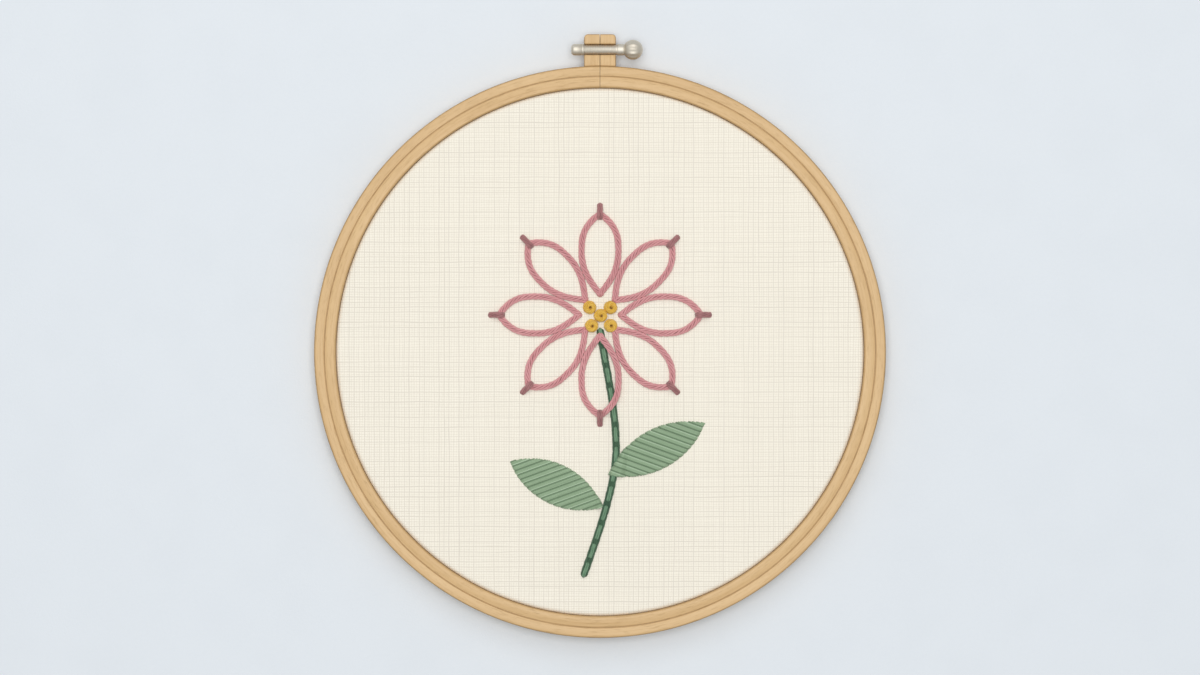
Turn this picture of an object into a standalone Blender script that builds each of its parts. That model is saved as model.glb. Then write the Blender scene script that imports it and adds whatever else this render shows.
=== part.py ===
"""Embroidered linen in a round wooden embroidery hoop, lying on its back, face up.

Sizes are in millimetres, from the middle of the hoop, with +Y towards the clamp and +Z up.
Each piece is scaled to metres when it is placed.
"""

import math

import bmesh
import bpy
from mathutils import Matrix, Vector

MM = 0.001
GAP = 0.3
EDGE_STEPS = 2
SHARP_ANGLE = math.radians(40.0)

# Outer ring: two bent plies glued into one ring, split at the clamp
HOOP_HEIGHT = 9.0
OUTER_RADIUS = 82.5
OUTER_RING_BORE = 76.25
PLY_LINE_RADIUS = 79.5
PLY_LINE_WIDTH = 0.5
PLY_LINE_DEPTH = 0.35
RING_EDGE = 0.8
RING_BACK_EDGE = 0.4
SPLIT_WIDTH = 0.6
OUTER_RING_STEPS = 96

# Linen: a drum, stretched over the inner ring and turned down between the rings
LINEN_THICKNESS = 1.0
LINEN_SINK = 0.7
LINEN_SHOULDER = 1.4
LINEN_EDGE_HEIGHT = 1.2
LINEN_STEPS = 72
SHOULDER_STEPS = 4
LINEN_TOP = HOOP_HEIGHT - LINEN_SINK
LINEN_RADIUS = OUTER_RING_BORE - GAP

# Inner ring: plain bent wood under the linen
INNER_RING_WIDTH = 4.0
INNER_RING_RADIUS = LINEN_RADIUS - LINEN_THICKNESS - GAP
INNER_RING_HEIGHT = LINEN_TOP - LINEN_THICKNESS - GAP
INNER_RING_SHOULDER = 0.9
INNER_RING_STEPS = 72

# Lugs: a block glued to each end of the outer ring, with an open slot for the screw
LUG_OUTER_X = 4.6
LUG_TOP_Y = 91.7
LUG_BOTTOM = 0.5
LUG_TOP = 8.5
LUG_CORNER = 1.1
LUG_EDGE = 0.35
LUG_ARC_STEPS = 5
SLOT_HALF_WIDTH = 1.6
SLOT_ARC_STEPS = 10
SLOT_OVERRUN = 2.0

# Clamp screw, with its axis along X
SCREW_Y = 87.3
SCREW_Z = 7.2
SHANK_RADIUS = 1.3
TENON_RADIUS = 1.0
COLLAR_RADIUS = 1.85
COLLAR_START = LUG_OUTER_X + GAP
COLLAR_END = 6.9
KNOB_RADIUS = 2.85
KNOB_CENTRE = 9.5
KNOB_FLUTES = 12
KNOB_FLUTE_DEPTH = 0.25
KNOB_BELT = 1.9
KNOB_ARC_STEPS = 9
SCREW_STEPS = 48

# Cap nut on the screw's left end, with a blind bore
NUT_RADIUS = 1.85
NUT_START = -LUG_OUTER_X - GAP
NUT_END = -8.35
NUT_ROUND = 1.0
NUT_BORE_RADIUS = TENON_RADIUS + GAP
NUT_BORE_END = -7.5
TENON_END = NUT_BORE_END + GAP
NUT_ARC_STEPS = 4
NUT_STEPS = 24

# Threads: flat where they lie, one gap above the linen
STRAND_SIDES = 8
THREAD_BED = LINEN_TOP + GAP

# Flower: eight petals, each one loop of thread with a tacking stitch over its tip
FLOWER_CENTRE = Vector((0.0, 10.7))
PETAL_COUNT = 8
PETAL_INNER_TIP = 6.2
PETAL_INNER_TIP_DIAGONAL = 7.3
PETAL_WIDEST_AT = 18.2
PETAL_OUTER_TIP = 29.0
PETAL_HALF_WIDTH = 5.08
PETAL_INNER_FULLNESS = 2.1
PETAL_OUTER_FULLNESS = 3.0
PETAL_THREAD_WIDTH = 1.5
PETAL_THREAD_HEIGHT = 0.9
PETAL_SIDE_STEPS = 12

# Tacking stitch, its underside from the foot inside the loop to the foot outside it.
# Columns: distance from the flower's centre, height over the thread bed, width.
TACK_THICKNESS = 0.6
TACK_ROUTE = (
    (27.30, 0.00, 1.0),
    (27.33, 0.80, 1.2),
    (27.75, PETAL_THREAD_HEIGHT + GAP, 1.5),
    (30.00, PETAL_THREAD_HEIGHT + GAP, 1.6),
    (30.50, 0.85, 1.6),
    (31.00, 0.20, 1.6),
    (31.50, 0.00, 1.4),
    (32.20, 0.00, 0.9),
)

# French knots at the flower's centre. Columns: x and y from the centre.
KNOT_RADIUS = 1.7
KNOT_HEIGHT = 1.9
KNOT_FOOT_ANGLE = -60.0
KNOT_RIM_ANGLE = 66.0
KNOT_DIMPLE_RADIUS = 0.38
KNOT_DIMPLE_DEPTH = 0.45
KNOT_STEPS = 20
KNOT_ARC_STEPS = 6
KNOT_PLACES = (
    (0.15, -0.15),
    (-3.05, 2.15),
    (3.05, 2.15),
    (-2.50, -3.10),
    (2.80, -2.90),
)

# Stem: two smooth curves end to end, from the flower down. Columns: x and y.
STEM_UPPER_CURVE = ((0.1, 5.95), (2.0, -4.8), (4.7, -16.0), (4.7, -27.0))
STEM_LOWER_CURVE = ((4.7, -27.0), (4.7, -38.0), (-0.1, -51.1), (-4.5, -64.1))
STEM_CURVE_SAMPLES = 60
STEM_WIDTH = 1.95
STEM_HEIGHT = 0.65
STEM_STITCHES = 13
STEM_STITCH_RISE = 0.2
STEM_STITCH_SHARE = 0.78
STEM_STEPS_PER_STITCH = 5
STEM_END_STEPS = 3
STEM_END_SHARE = 0.3

# Lift of what is stitched over the stem
LIFT_HEIGHT = STEM_HEIGHT + STEM_STITCH_RISE + GAP
LIFT_FULL_WITHIN = 2.1
LIFT_NONE_BEYOND = 3.9

# Leaves in satin stitch. Columns: name, base, tip, slope of the stitches in degrees.
LEAF_HALF_WIDTH = 5.95
SATIN_PITCH = 1.456
SATIN_VALLEY = 0.32
LEAF_EDGE_HEIGHT = 0.35
LEAF_HEIGHT = 1.0
LEAF_ROLL = 4.0
LEAF_COLUMNS = 8
LEAF_SHORTEST_STITCH = 1.2
LEAVES = (
    ("leaf_right", (2.75, -35.25), (30.5, -20.65), -20.0),
    ("leaf_left", (0.35, -44.40), (-25.95, -31.85), 20.0),
)

# Colour, roughness, metallic
WOOD = ("hoop_wood", (0.694, 0.474, 0.246), 0.55, 0.0)
METAL = ("clamp_metal", (0.62, 0.58, 0.50), 0.35, 1.0)
LINEN = ("cream_linen", (0.91, 0.86, 0.76), 0.9, 0.0)
PINK = ("pink_thread", (0.58, 0.25, 0.26), 0.6, 0.0)
DARK_PINK = ("dark_pink_thread", (0.35, 0.14, 0.15), 0.6, 0.0)
GOLD = ("gold_thread", (0.64, 0.36, 0.04), 0.5, 0.0)
DARK_GREEN = ("dark_green_thread", (0.05, 0.12, 0.06), 0.6, 0.0)
SAGE = ("sage_thread", (0.27, 0.39, 0.24), 0.6, 0.0)


def clear_scene():
    """Removes whatever the scene holds."""
    for obj in list(bpy.data.objects):
        bpy.data.objects.remove(obj, do_unlink=True)


def make_material(finish):
    """A Principled material from a name, colour, roughness and metallic value."""
    name, colour, roughness, metallic = finish
    material = bpy.data.materials.new(name)
    material.use_nodes = True
    shader = material.node_tree.nodes["Principled BSDF"]
    shader.inputs["Base Color"].default_value = (*colour, 1.0)
    shader.inputs["Roughness"].default_value = roughness
    shader.inputs["Metallic"].default_value = metallic
    material.diffuse_color = (*colour, 1.0)
    return material


def make_hoop_centre():
    """The empty that carries every piece. It puts the middle of the whole outline at the origin."""
    centre = bpy.data.objects.new("hoop_centre", None)
    centre.empty_display_size = 10.0 * MM
    centre.location = (0.0, (OUTER_RADIUS - LUG_TOP_Y) / 2 * MM, 0.0)
    bpy.context.scene.collection.objects.link(centre)
    return centre


def make_mesh(name, bm, material, origin=(0.0, 0.0, 0.0)):
    """A smooth-shaded mesh in metres, with its origin moved to a point of the hoop's frame."""
    bmesh.ops.recalc_face_normals(bm, faces=bm.faces)
    bmesh.ops.translate(bm, vec=-Vector(origin), verts=bm.verts)
    bmesh.ops.scale(bm, vec=(MM, MM, MM), verts=bm.verts)
    mesh = bpy.data.meshes.new(name)
    bm.to_mesh(mesh)
    bm.free()
    mesh.shade_smooth()
    mesh.set_sharp_from_angle(angle=SHARP_ANGLE)
    mesh.materials.append(material)
    return mesh


def place(name, mesh, parent, location=(0.0, 0.0, 0.0), turn=0.0):
    """An object for one piece, at a point of the hoop's frame and turned about Z."""
    obj = bpy.data.objects.new(name, mesh)
    bpy.context.scene.collection.objects.link(obj)
    obj.parent = parent
    obj.location = Vector(location) * MM
    obj.rotation_euler = (0.0, 0.0, turn)
    return obj


def arc(centre, radius, start, end, steps):
    """Points of an arc in a plane, both ends included, with its angles in degrees."""
    angles = (math.radians(start + (end - start) * i / steps) for i in range(steps + 1))
    return [
        (centre[0] + radius * math.cos(a), centre[1] + radius * math.sin(a)) for a in angles
    ]


def spun_about_z(profile, steps):
    """A ring turned from a closed profile of radius and height."""
    bm = bmesh.new()
    verts = [bm.verts.new((radius, 0.0, z)) for radius, z in profile]
    edges = [bm.edges.new(pair) for pair in zip(verts, verts[1:] + verts[:1])]
    bmesh.ops.spin(
        bm,
        geom=verts + edges,
        cent=(0.0, 0.0, 0.0),
        axis=(0.0, 0.0, 1.0),
        angle=math.tau,
        steps=steps,
        use_merge=True,
    )
    return bm


def closed_on_axis(profile, axis, steps):
    """A solid turned from an open line of points that starts and ends on the axis."""
    bm = bmesh.new()
    verts = [bm.verts.new(point) for point in profile]
    edges = [bm.edges.new(pair) for pair in zip(verts, verts[1:])]
    bmesh.ops.spin(
        bm,
        geom=verts + edges,
        cent=(0.0, 0.0, 0.0),
        axis=axis,
        angle=math.tau,
        steps=steps,
        use_merge=True,
    )
    bmesh.ops.remove_doubles(bm, verts=bm.verts, dist=0.0001)
    return bm


def prism(outline, along, start, end):
    """A block with an outline in the plane across an axis, X or Z, from start to end along it."""
    turn = Matrix.Identity(3)
    if along == "X":
        turn = Matrix(((0.0, 0.0, 1.0), (1.0, 0.0, 0.0), (0.0, 1.0, 0.0)))
    bm = bmesh.new()
    base = bm.faces.new([bm.verts.new(turn @ Vector((u, v, start))) for u, v in outline])
    raised = bmesh.ops.extrude_face_region(bm, geom=[base])
    top = [item for item in raised["geom"] if isinstance(item, bmesh.types.BMVert)]
    bmesh.ops.translate(bm, vec=turn @ Vector((0.0, 0.0, end - start)), verts=top)
    return bm


def strand_section():
    """Points across a thread: sideways from -1 to 1, and up from 0 at its flat underside to 1."""
    half_side = math.pi / STRAND_SIDES
    points = []
    for i in range(STRAND_SIDES):
        angle = (2 * i + 1) * half_side
        points.append(
            (math.cos(angle) / math.cos(half_side), (math.sin(angle) / math.cos(half_side) + 1) / 2)
        )
    return points


def add_strip(bm, row, following):
    """Adds the faces between two rows of as many points."""
    for i in range(len(row) - 1):
        bm.faces.new((row[i], row[i + 1], following[i + 1], following[i]))


def strand(stations, closed):
    """A thread through stations of underside point, vector across and vector up."""
    bm = bmesh.new()
    section = strand_section()
    rings = [
        [bm.verts.new(point + across * a + up * b) for a, b in section]
        for point, across, up in stations
    ]
    pairs = list(zip(rings, rings[1:]))
    if closed:
        pairs.append((rings[-1], rings[0]))
    else:
        bm.faces.new(rings[0])
        bm.faces.new(rings[-1])
    for ring, following in pairs:
        add_strip(bm, ring + ring[:1], following + following[:1])
    return bm


def directions(points, closed):
    """At each point of a route, the unit direction along it and the stretch a mitre needs."""
    count = len(points)
    found = []
    for i, point in enumerate(points):
        before = points[i - 1] if closed or i > 0 else None
        after = points[(i + 1) % count] if closed or i < count - 1 else None
        arriving = (point - before).normalized() if before is not None else None
        leaving = (after - point).normalized() if after is not None else None
        along = ((arriving or leaving) + (leaving or arriving)).normalized()
        found.append((along, 1.0 / along.dot(leaving or arriving)))
    return found


def flat_route(points, heights, widths, thicknesses, closed):
    """Stations of a thread that lies on the linen, from its plan, heights, widths and thicknesses."""
    stations = []
    for (along, mitre), point, height, width, thickness in zip(
        directions(points, closed), points, heights, widths, thicknesses
    ):
        across = Vector((along.y, -along.x, 0.0)) * (width / 2 * mitre)
        stations.append((Vector((*point, height)), across, Vector((0.0, 0.0, thickness))))
    return stations


def make_outer_ring(wood, parent):
    """The split outer ring, with the glue line between its plies as a shallow groove."""
    line_start = PLY_LINE_RADIUS - PLY_LINE_WIDTH / 2
    line_end = PLY_LINE_RADIUS + PLY_LINE_WIDTH / 2
    rim = arc((OUTER_RADIUS - RING_EDGE, HOOP_HEIGHT - RING_EDGE), RING_EDGE, 0.0, 90.0, EDGE_STEPS)
    lip_centre = (OUTER_RING_BORE + RING_EDGE, HOOP_HEIGHT - RING_EDGE)
    lip = arc(lip_centre, RING_EDGE, 90.0, 180.0, EDGE_STEPS)
    profile = [
        (OUTER_RING_BORE, RING_BACK_EDGE),
        (OUTER_RING_BORE + RING_BACK_EDGE, 0.0),
        (OUTER_RADIUS - RING_BACK_EDGE, 0.0),
        (OUTER_RADIUS, RING_BACK_EDGE),
        *rim,
        (line_end, HOOP_HEIGHT),
        (PLY_LINE_RADIUS, HOOP_HEIGHT - PLY_LINE_DEPTH),
        (line_start, HOOP_HEIGHT),
        *lip,
    ]
    half_split = math.asin(SPLIT_WIDTH / 2 / PLY_LINE_RADIUS)
    start = math.pi / 2 + half_split
    bm = bmesh.new()
    verts = [
        bm.verts.new((radius * math.cos(start), radius * math.sin(start), z))
        for radius, z in profile
    ]
    edges = [bm.edges.new(pair) for pair in zip(verts, verts[1:] + verts[:1])]
    swept = bmesh.ops.spin(
        bm,
        geom=verts + edges,
        cent=(0.0, 0.0, 0.0),
        axis=(0.0, 0.0, 1.0),
        angle=math.tau - 2 * half_split,
        steps=OUTER_RING_STEPS,
    )
    last_edges = [item for item in swept["geom_last"] if isinstance(item, bmesh.types.BMEdge)]
    bmesh.ops.contextual_create(bm, geom=edges)
    bmesh.ops.contextual_create(bm, geom=last_edges)
    place("outer_ring", make_mesh("outer_ring", bm, wood), parent)


def make_inner_ring(wood, parent):
    """The plain inner ring, rounded where the linen turns over it."""
    bore = INNER_RING_RADIUS - INNER_RING_WIDTH
    shoulder_centre = (
        INNER_RING_RADIUS - INNER_RING_SHOULDER,
        INNER_RING_HEIGHT - INNER_RING_SHOULDER,
    )
    profile = [
        (bore, RING_BACK_EDGE),
        (bore + RING_BACK_EDGE, 0.0),
        (INNER_RING_RADIUS - RING_BACK_EDGE, 0.0),
        (INNER_RING_RADIUS, RING_BACK_EDGE),
        *arc(shoulder_centre, INNER_RING_SHOULDER, 0.0, 90.0, EDGE_STEPS),
        (bore + RING_BACK_EDGE, INNER_RING_HEIGHT),
        (bore, INNER_RING_HEIGHT - RING_BACK_EDGE),
    ]
    mesh = make_mesh("inner_ring", spun_about_z(profile, INNER_RING_STEPS), wood)
    place("inner_ring", mesh, parent)


def make_linen(linen, parent):
    """The linen: a flat disc whose edge turns down between the rings."""
    shoulder_centre = (LINEN_RADIUS - LINEN_SHOULDER, LINEN_TOP - LINEN_SHOULDER)
    outside = arc(shoulder_centre, LINEN_SHOULDER, 90.0, 0.0, SHOULDER_STEPS)
    inside = arc(shoulder_centre, LINEN_SHOULDER - LINEN_THICKNESS, 0.0, 90.0, SHOULDER_STEPS)
    line = [
        (0.0, LINEN_TOP),
        *outside,
        (LINEN_RADIUS, LINEN_EDGE_HEIGHT),
        (LINEN_RADIUS - LINEN_THICKNESS, LINEN_EDGE_HEIGHT),
        *inside,
        (0.0, LINEN_TOP - LINEN_THICKNESS),
    ]
    profile = [(radius, 0.0, z) for radius, z in line]
    bm = closed_on_axis(profile, (0.0, 0.0, 1.0), LINEN_STEPS)
    place("linen", make_mesh("linen", bm, linen), parent)


def lug_outline(side):
    """A lug's plan: a foot that follows the ring, and a rounded outer corner."""
    foot_radius = OUTER_RADIUS + GAP
    inner_x = SPLIT_WIDTH / 2
    foot_xs = [
        inner_x + (LUG_OUTER_X - inner_x) * i / LUG_ARC_STEPS for i in range(LUG_ARC_STEPS + 1)
    ]
    foot = [(x, math.sqrt(foot_radius**2 - x**2)) for x in foot_xs]
    corner_centre = (LUG_OUTER_X - LUG_CORNER, LUG_TOP_Y - LUG_CORNER)
    corner = arc(corner_centre, LUG_CORNER, 0.0, 90.0, LUG_ARC_STEPS)
    return [(side * x, y) for x, y in [*foot, *corner, (inner_x, LUG_TOP_Y)]]


def make_slot_cutter(parent):
    """The cutter for both lugs' slots: round at the screw, and open at the front."""
    round_end = arc((SCREW_Y, SCREW_Z), SLOT_HALF_WIDTH, 180.0, 360.0, SLOT_ARC_STEPS)
    mouth = LUG_TOP + SLOT_OVERRUN
    outline = [*round_end, (SCREW_Y + SLOT_HALF_WIDTH, mouth), (SCREW_Y - SLOT_HALF_WIDTH, mouth)]
    reach = LUG_OUTER_X + SLOT_OVERRUN
    mesh = bpy.data.meshes.new("slot_cutter")
    bm = prism(outline, "X", -reach, reach)
    bmesh.ops.recalc_face_normals(bm, faces=bm.faces)
    bmesh.ops.scale(bm, vec=(MM, MM, MM), verts=bm.verts)
    bm.to_mesh(mesh)
    bm.free()
    cutter = place("slot_cutter", mesh, parent)
    cutter.hide_render = True
    cutter.display_type = "WIRE"
    return cutter


def make_lug(name, side, wood, cutter, parent):
    """One lug, with its edges eased and the slot cut through it."""
    bm = prism(lug_outline(side), "Z", LUG_BOTTOM, LUG_TOP)
    lug = place(name, make_mesh(name, bm, wood), parent)
    ease = lug.modifiers.new("eased edges", "BEVEL")
    ease.width = LUG_EDGE * MM
    ease.segments = EDGE_STEPS
    ease.limit_method = "ANGLE"
    ease.angle_limit = SHARP_ANGLE
    slot = lug.modifiers.new("screw slot", "BOOLEAN")
    slot.operation = "DIFFERENCE"
    slot.solver = "EXACT"
    slot.object = cutter


def knob_profile():
    """The knob's line of distance along the axis and radius, from the collar to its far pole."""
    neck = math.degrees(math.asin(COLLAR_RADIUS / KNOB_RADIUS))
    return arc((KNOB_CENTRE, 0.0), KNOB_RADIUS, 180.0 - neck, 0.0, KNOB_ARC_STEPS)


def flute_knob(bm):
    """Presses shallow flutes into the knob's belt, fading out towards its poles."""
    for vert in bm.verts:
        from_belt = abs(vert.co.x - KNOB_CENTRE) / KNOB_BELT
        if from_belt >= 1.0:
            continue
        angle = math.atan2(vert.co.z, vert.co.y)
        wave = (1.0 - math.cos(KNOB_FLUTES * angle)) / 2
        depth = KNOB_FLUTE_DEPTH * wave * (1.0 - from_belt**2)
        shrink = 1.0 - depth / math.hypot(vert.co.y, vert.co.z)
        vert.co.y *= shrink
        vert.co.z *= shrink


def make_thumbscrew(metal, parent):
    """The clamp screw: a tenon in the nut, the shank through the slots, a collar and the knob."""
    line = [
        (TENON_END, 0.0),
        (TENON_END, TENON_RADIUS),
        (NUT_START, TENON_RADIUS),
        (NUT_START + GAP, SHANK_RADIUS),
        (COLLAR_START, SHANK_RADIUS),
        (COLLAR_START, COLLAR_RADIUS),
        (COLLAR_END, COLLAR_RADIUS),
        *[(x, max(radius, 0.0)) for x, radius in knob_profile()],
    ]
    profile = [(x, radius, 0.0) for x, radius in line]
    bm = closed_on_axis(profile, (1.0, 0.0, 0.0), SCREW_STEPS)
    flute_knob(bm)
    mesh = make_mesh("thumbscrew", bm, metal)
    place("thumbscrew", mesh, parent, location=(0.0, SCREW_Y, SCREW_Z))


def make_cap_nut(metal, parent):
    """The round cap nut: a blind bore towards the lug, and a rounded outer end."""
    dome = arc((NUT_END + NUT_ROUND, NUT_RADIUS - NUT_ROUND), NUT_ROUND, 90.0, 180.0, NUT_ARC_STEPS)
    line = [
        (NUT_BORE_END, 0.0),
        (NUT_BORE_END, NUT_BORE_RADIUS),
        (NUT_START, NUT_BORE_RADIUS),
        (NUT_START, NUT_RADIUS),
        *dome,
        (NUT_END, 0.0),
    ]
    profile = [(x, radius, 0.0) for x, radius in line]
    bm = closed_on_axis(profile, (1.0, 0.0, 0.0), NUT_STEPS)
    mesh = make_mesh("cap_nut", bm, metal)
    place("cap_nut", mesh, parent, location=(0.0, SCREW_Y, SCREW_Z))


def bezier(controls, t):
    """A point of a cubic curve with four control points."""
    weights = ((1 - t) ** 3, 3 * (1 - t) ** 2 * t, 3 * (1 - t) * t**2, t**3)
    point = Vector((0.0, 0.0))
    for weight, control in zip(weights, controls):
        point += weight * Vector(control)
    return point


def stem_line():
    """Close points along the whole stem, from the flower down."""
    upper = [bezier(STEM_UPPER_CURVE, i / STEM_CURVE_SAMPLES) for i in range(STEM_CURVE_SAMPLES)]
    lower = [
        bezier(STEM_LOWER_CURVE, i / STEM_CURVE_SAMPLES) for i in range(STEM_CURVE_SAMPLES + 1)
    ]
    return upper + lower


def lift_over_stem(point, line):
    """How far a thread is raised at a point of the plan, so that it passes over the stem."""
    distance = min((point - other).length for other in line)
    share = (LIFT_NONE_BEYOND - distance) / (LIFT_NONE_BEYOND - LIFT_FULL_WITHIN)
    share = min(max(share, 0.0), 1.0)
    return LIFT_HEIGHT * share * share * (3 - 2 * share)


def point_along(line, travelled, distance):
    """The point of a line at a distance from its start."""
    for i in range(1, len(line)):
        if travelled[i] >= distance:
            share = (distance - travelled[i - 1]) / (travelled[i] - travelled[i - 1])
            return line[i - 1].lerp(line[i], share)
    return line[-1]


def make_stem(green, line, parent):
    """The stem: one band of stitches, each raised a little between its ends."""
    travelled = [0.0]
    for start, end in zip(line, line[1:]):
        travelled.append(travelled[-1] + (end - start).length)
    length = travelled[-1]
    end_round = STEM_WIDTH / 2
    inner_steps = STEM_STITCHES * STEM_STEPS_PER_STITCH
    distances = [end_round * i / STEM_END_STEPS for i in range(STEM_END_STEPS)]
    distances += [
        end_round + (length - 2 * end_round) * i / inner_steps for i in range(inner_steps + 1)
    ]
    distances += [length - end_round * i / STEM_END_STEPS for i in reversed(range(STEM_END_STEPS))]
    pitch = length / STEM_STITCHES
    points, widths, thicknesses = [], [], []
    for distance in distances:
        from_end = min(distance, length - distance)
        rounding = 1.0 - min(from_end / end_round, 1.0)
        phase = (distance % pitch) / pitch / STEM_STITCH_SHARE
        rise = math.sin(math.pi * phase) if phase < 1.0 else 0.0
        points.append(point_along(line, travelled, distance))
        widths.append(STEM_WIDTH * max(math.sqrt(1.0 - rounding**2), STEM_END_SHARE))
        thicknesses.append(STEM_HEIGHT + STEM_STITCH_RISE * rise)
    heights = [THREAD_BED] * len(points)
    bm = strand(flat_route(points, heights, widths, thicknesses, closed=False), closed=False)
    origin = (line[0].x, line[0].y, LINEN_TOP)
    place("stem", make_mesh("stem", bm, green, origin), parent, location=origin)


def petal_half_width(distance):
    """Half the width of a petal's loop at a distance from the flower's centre."""
    if distance < PETAL_WIDEST_AT:
        share = (PETAL_WIDEST_AT - distance) / (PETAL_WIDEST_AT - PETAL_INNER_TIP)
        return PETAL_HALF_WIDTH * max(1.0 - share**PETAL_INNER_FULLNESS, 0.0)
    share = (distance - PETAL_WIDEST_AT) / (PETAL_OUTER_TIP - PETAL_WIDEST_AT)
    return PETAL_HALF_WIDTH * max(1.0 - share**PETAL_OUTER_FULLNESS, 0.0)


def petal_loop(inner_tip):
    """The loop's plan, its petal pointing along +Y, from the inner tip up one side and down the other."""
    side = []
    for i in range(PETAL_SIDE_STEPS + 1):
        share = (1.0 - math.cos(math.pi * i / PETAL_SIDE_STEPS)) / 2
        distance = inner_tip + (PETAL_OUTER_TIP - inner_tip) * share
        fade = min((distance - inner_tip) / (PETAL_WIDEST_AT - inner_tip), 1.0)
        narrowed = petal_half_width(distance) - petal_half_width(inner_tip) * (1.0 - fade)
        side.append(Vector((narrowed, distance)))
    return side + [Vector((-point.x, point.y)) for point in side[-2:0:-1]]


def make_petal(name, turn, inner_tip, pink, line, parent):
    """One petal: a closed loop of thread that rises where it crosses the stem."""
    loop = petal_loop(inner_tip)
    turned = Matrix.Rotation(turn, 2)
    count = len(loop)
    heights = [
        THREAD_BED + lift_over_stem(FLOWER_CENTRE + turned @ point, line) for point in loop
    ]
    stations = flat_route(
        loop, heights, [PETAL_THREAD_WIDTH] * count, [PETAL_THREAD_HEIGHT] * count, closed=True
    )
    bm = strand(stations, closed=True)
    mesh = make_mesh(name, bm, pink, (0.0, 0.0, LINEN_TOP))
    place(name, mesh, parent, location=(*FLOWER_CENTRE, LINEN_TOP), turn=turn)


def tack_mesh(dark_pink):
    """A tacking stitch along +Y that arches over a petal's tip."""
    underside = [Vector((0.0, distance, THREAD_BED + height)) for distance, height, _ in TACK_ROUTE]
    stations = []
    for (along, mitre), point, row in zip(directions(underside, False), underside, TACK_ROUTE):
        across = Vector((row[2] / 2, 0.0, 0.0))
        up = Vector((0.0, -along.z, along.y)) * (TACK_THICKNESS * mitre)
        stations.append((point, across, up))
    bm = strand(stations, closed=False)
    return make_mesh("tack", bm, dark_pink, (0.0, 0.0, LINEN_TOP))


def make_flower(pink, dark_pink, line, parent):
    """Eight petals about the flower's centre, each with its tacking stitch."""
    shared_tack = tack_mesh(dark_pink)
    centre = (*FLOWER_CENTRE, LINEN_TOP)
    for i in range(PETAL_COUNT):
        turn = -math.tau * i / PETAL_COUNT
        inner_tip = PETAL_INNER_TIP_DIAGONAL if i % 2 else PETAL_INNER_TIP
        make_petal(f"petal_{i + 1}", turn, inner_tip, pink, line, parent)
        place(f"tack_{i + 1}", shared_tack, parent, location=centre, turn=turn)


def make_knots(gold, parent):
    """French knots: low domes, each with a dimple where the thread goes down."""
    dome = arc((0.0, 0.0), 1.0, KNOT_FOOT_ANGLE, KNOT_RIM_ANGLE, KNOT_ARC_STEPS)
    lowest = dome[0][1]
    scale_up = KNOT_HEIGHT / (1.0 - lowest)
    sides = [(KNOT_RADIUS * x, (y - lowest) * scale_up) for x, y in dome]
    dimple_floor = KNOT_HEIGHT - KNOT_DIMPLE_DEPTH
    line = [(0.0, 0.0), *sides, (KNOT_DIMPLE_RADIUS, dimple_floor), (0.0, dimple_floor)]
    profile = [(radius, 0.0, THREAD_BED + z) for radius, z in line]
    bm = closed_on_axis(profile, (0.0, 0.0, 1.0), KNOT_STEPS)
    mesh = make_mesh("knot", bm, gold, (0.0, 0.0, LINEN_TOP))
    for i, (x, y) in enumerate(KNOT_PLACES):
        centre = (FLOWER_CENTRE.x + x, FLOWER_CENTRE.y + y, LINEN_TOP)
        place(f"knot_{i + 1}", mesh, parent, location=centre)


def chord_in_disc(point, along, centre, radius):
    """Where a line enters and leaves a disc, as distances from a point of the line, or None."""
    offset = point - centre
    middle = -offset.dot(along)
    depth = radius**2 - (offset.length_squared - middle**2)
    if depth <= 0.0:
        return None
    return middle - math.sqrt(depth), middle + math.sqrt(depth)


def leaf_chords(base, tip, along):
    """The satin stitches' rows: for each, its two ends on the leaf's outline."""
    half_length = (tip - base).length / 2
    axis = (tip - base).normalized()
    beside = Vector((-axis.y, axis.x))
    radius = (half_length**2 + LEAF_HALF_WIDTH**2) / (2 * LEAF_HALF_WIDTH)
    middle = (base + tip) / 2
    centres = [middle + side * beside * (radius - LEAF_HALF_WIDTH) for side in (-1, 1)]
    step_way = Vector((-along.y, along.x))
    if step_way.dot(axis) < 0.0:
        step_way = -step_way
    span = (tip - base).dot(step_way)
    rows = 2 * round(span / SATIN_PITCH)
    chords = []
    for i in range(1, rows):
        point = base + step_way * (span * i / rows)
        inside = [chord_in_disc(point, along, centre, radius) for centre in centres]
        if None in inside:
            continue
        start = max(chord[0] for chord in inside)
        end = min(chord[1] for chord in inside)
        if end - start >= LEAF_SHORTEST_STITCH:
            chords.append((i, point + along * start, point + along * end))
    return chords


def make_leaf(name, base, tip, slope, sage, line, parent):
    """A leaf of satin stitches: rounded rows side by side, raised where they cross the stem."""
    along = Vector((math.cos(math.radians(slope)), math.sin(math.radians(slope))))
    bm = bmesh.new()
    tops, undersides = [], []
    for row, start, end in leaf_chords(Vector(base), Vector(tip), along):
        valley = SATIN_VALLEY if row % 2 == 0 else 0.0
        top, underside = [], []
        for j in range(LEAF_COLUMNS + 1):
            across = -math.cos(math.pi * j / LEAF_COLUMNS)
            point = start.lerp(end, (across + 1) / 2)
            bed = THREAD_BED + lift_over_stem(point, line)
            crown = 1.0 - abs(across) ** LEAF_ROLL
            height = LEAF_EDGE_HEIGHT + (LEAF_HEIGHT - LEAF_EDGE_HEIGHT - valley) * crown
            top.append(bm.verts.new((*point, bed + height)))
            underside.append(bm.verts.new((*point, bed)))
        tops.append(top)
        undersides.append(underside)
    for layer in (tops, undersides):
        for row, following in zip(layer, layer[1:]):
            add_strip(bm, row, following)
    for end in (0, -1):
        add_strip(bm, tops[end], undersides[end])
        add_strip(bm, [top[end] for top in tops], [underside[end] for underside in undersides])
    origin = (*base, LINEN_TOP)
    place(name, make_mesh(name, bm, sage, origin), parent, location=origin)


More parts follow.
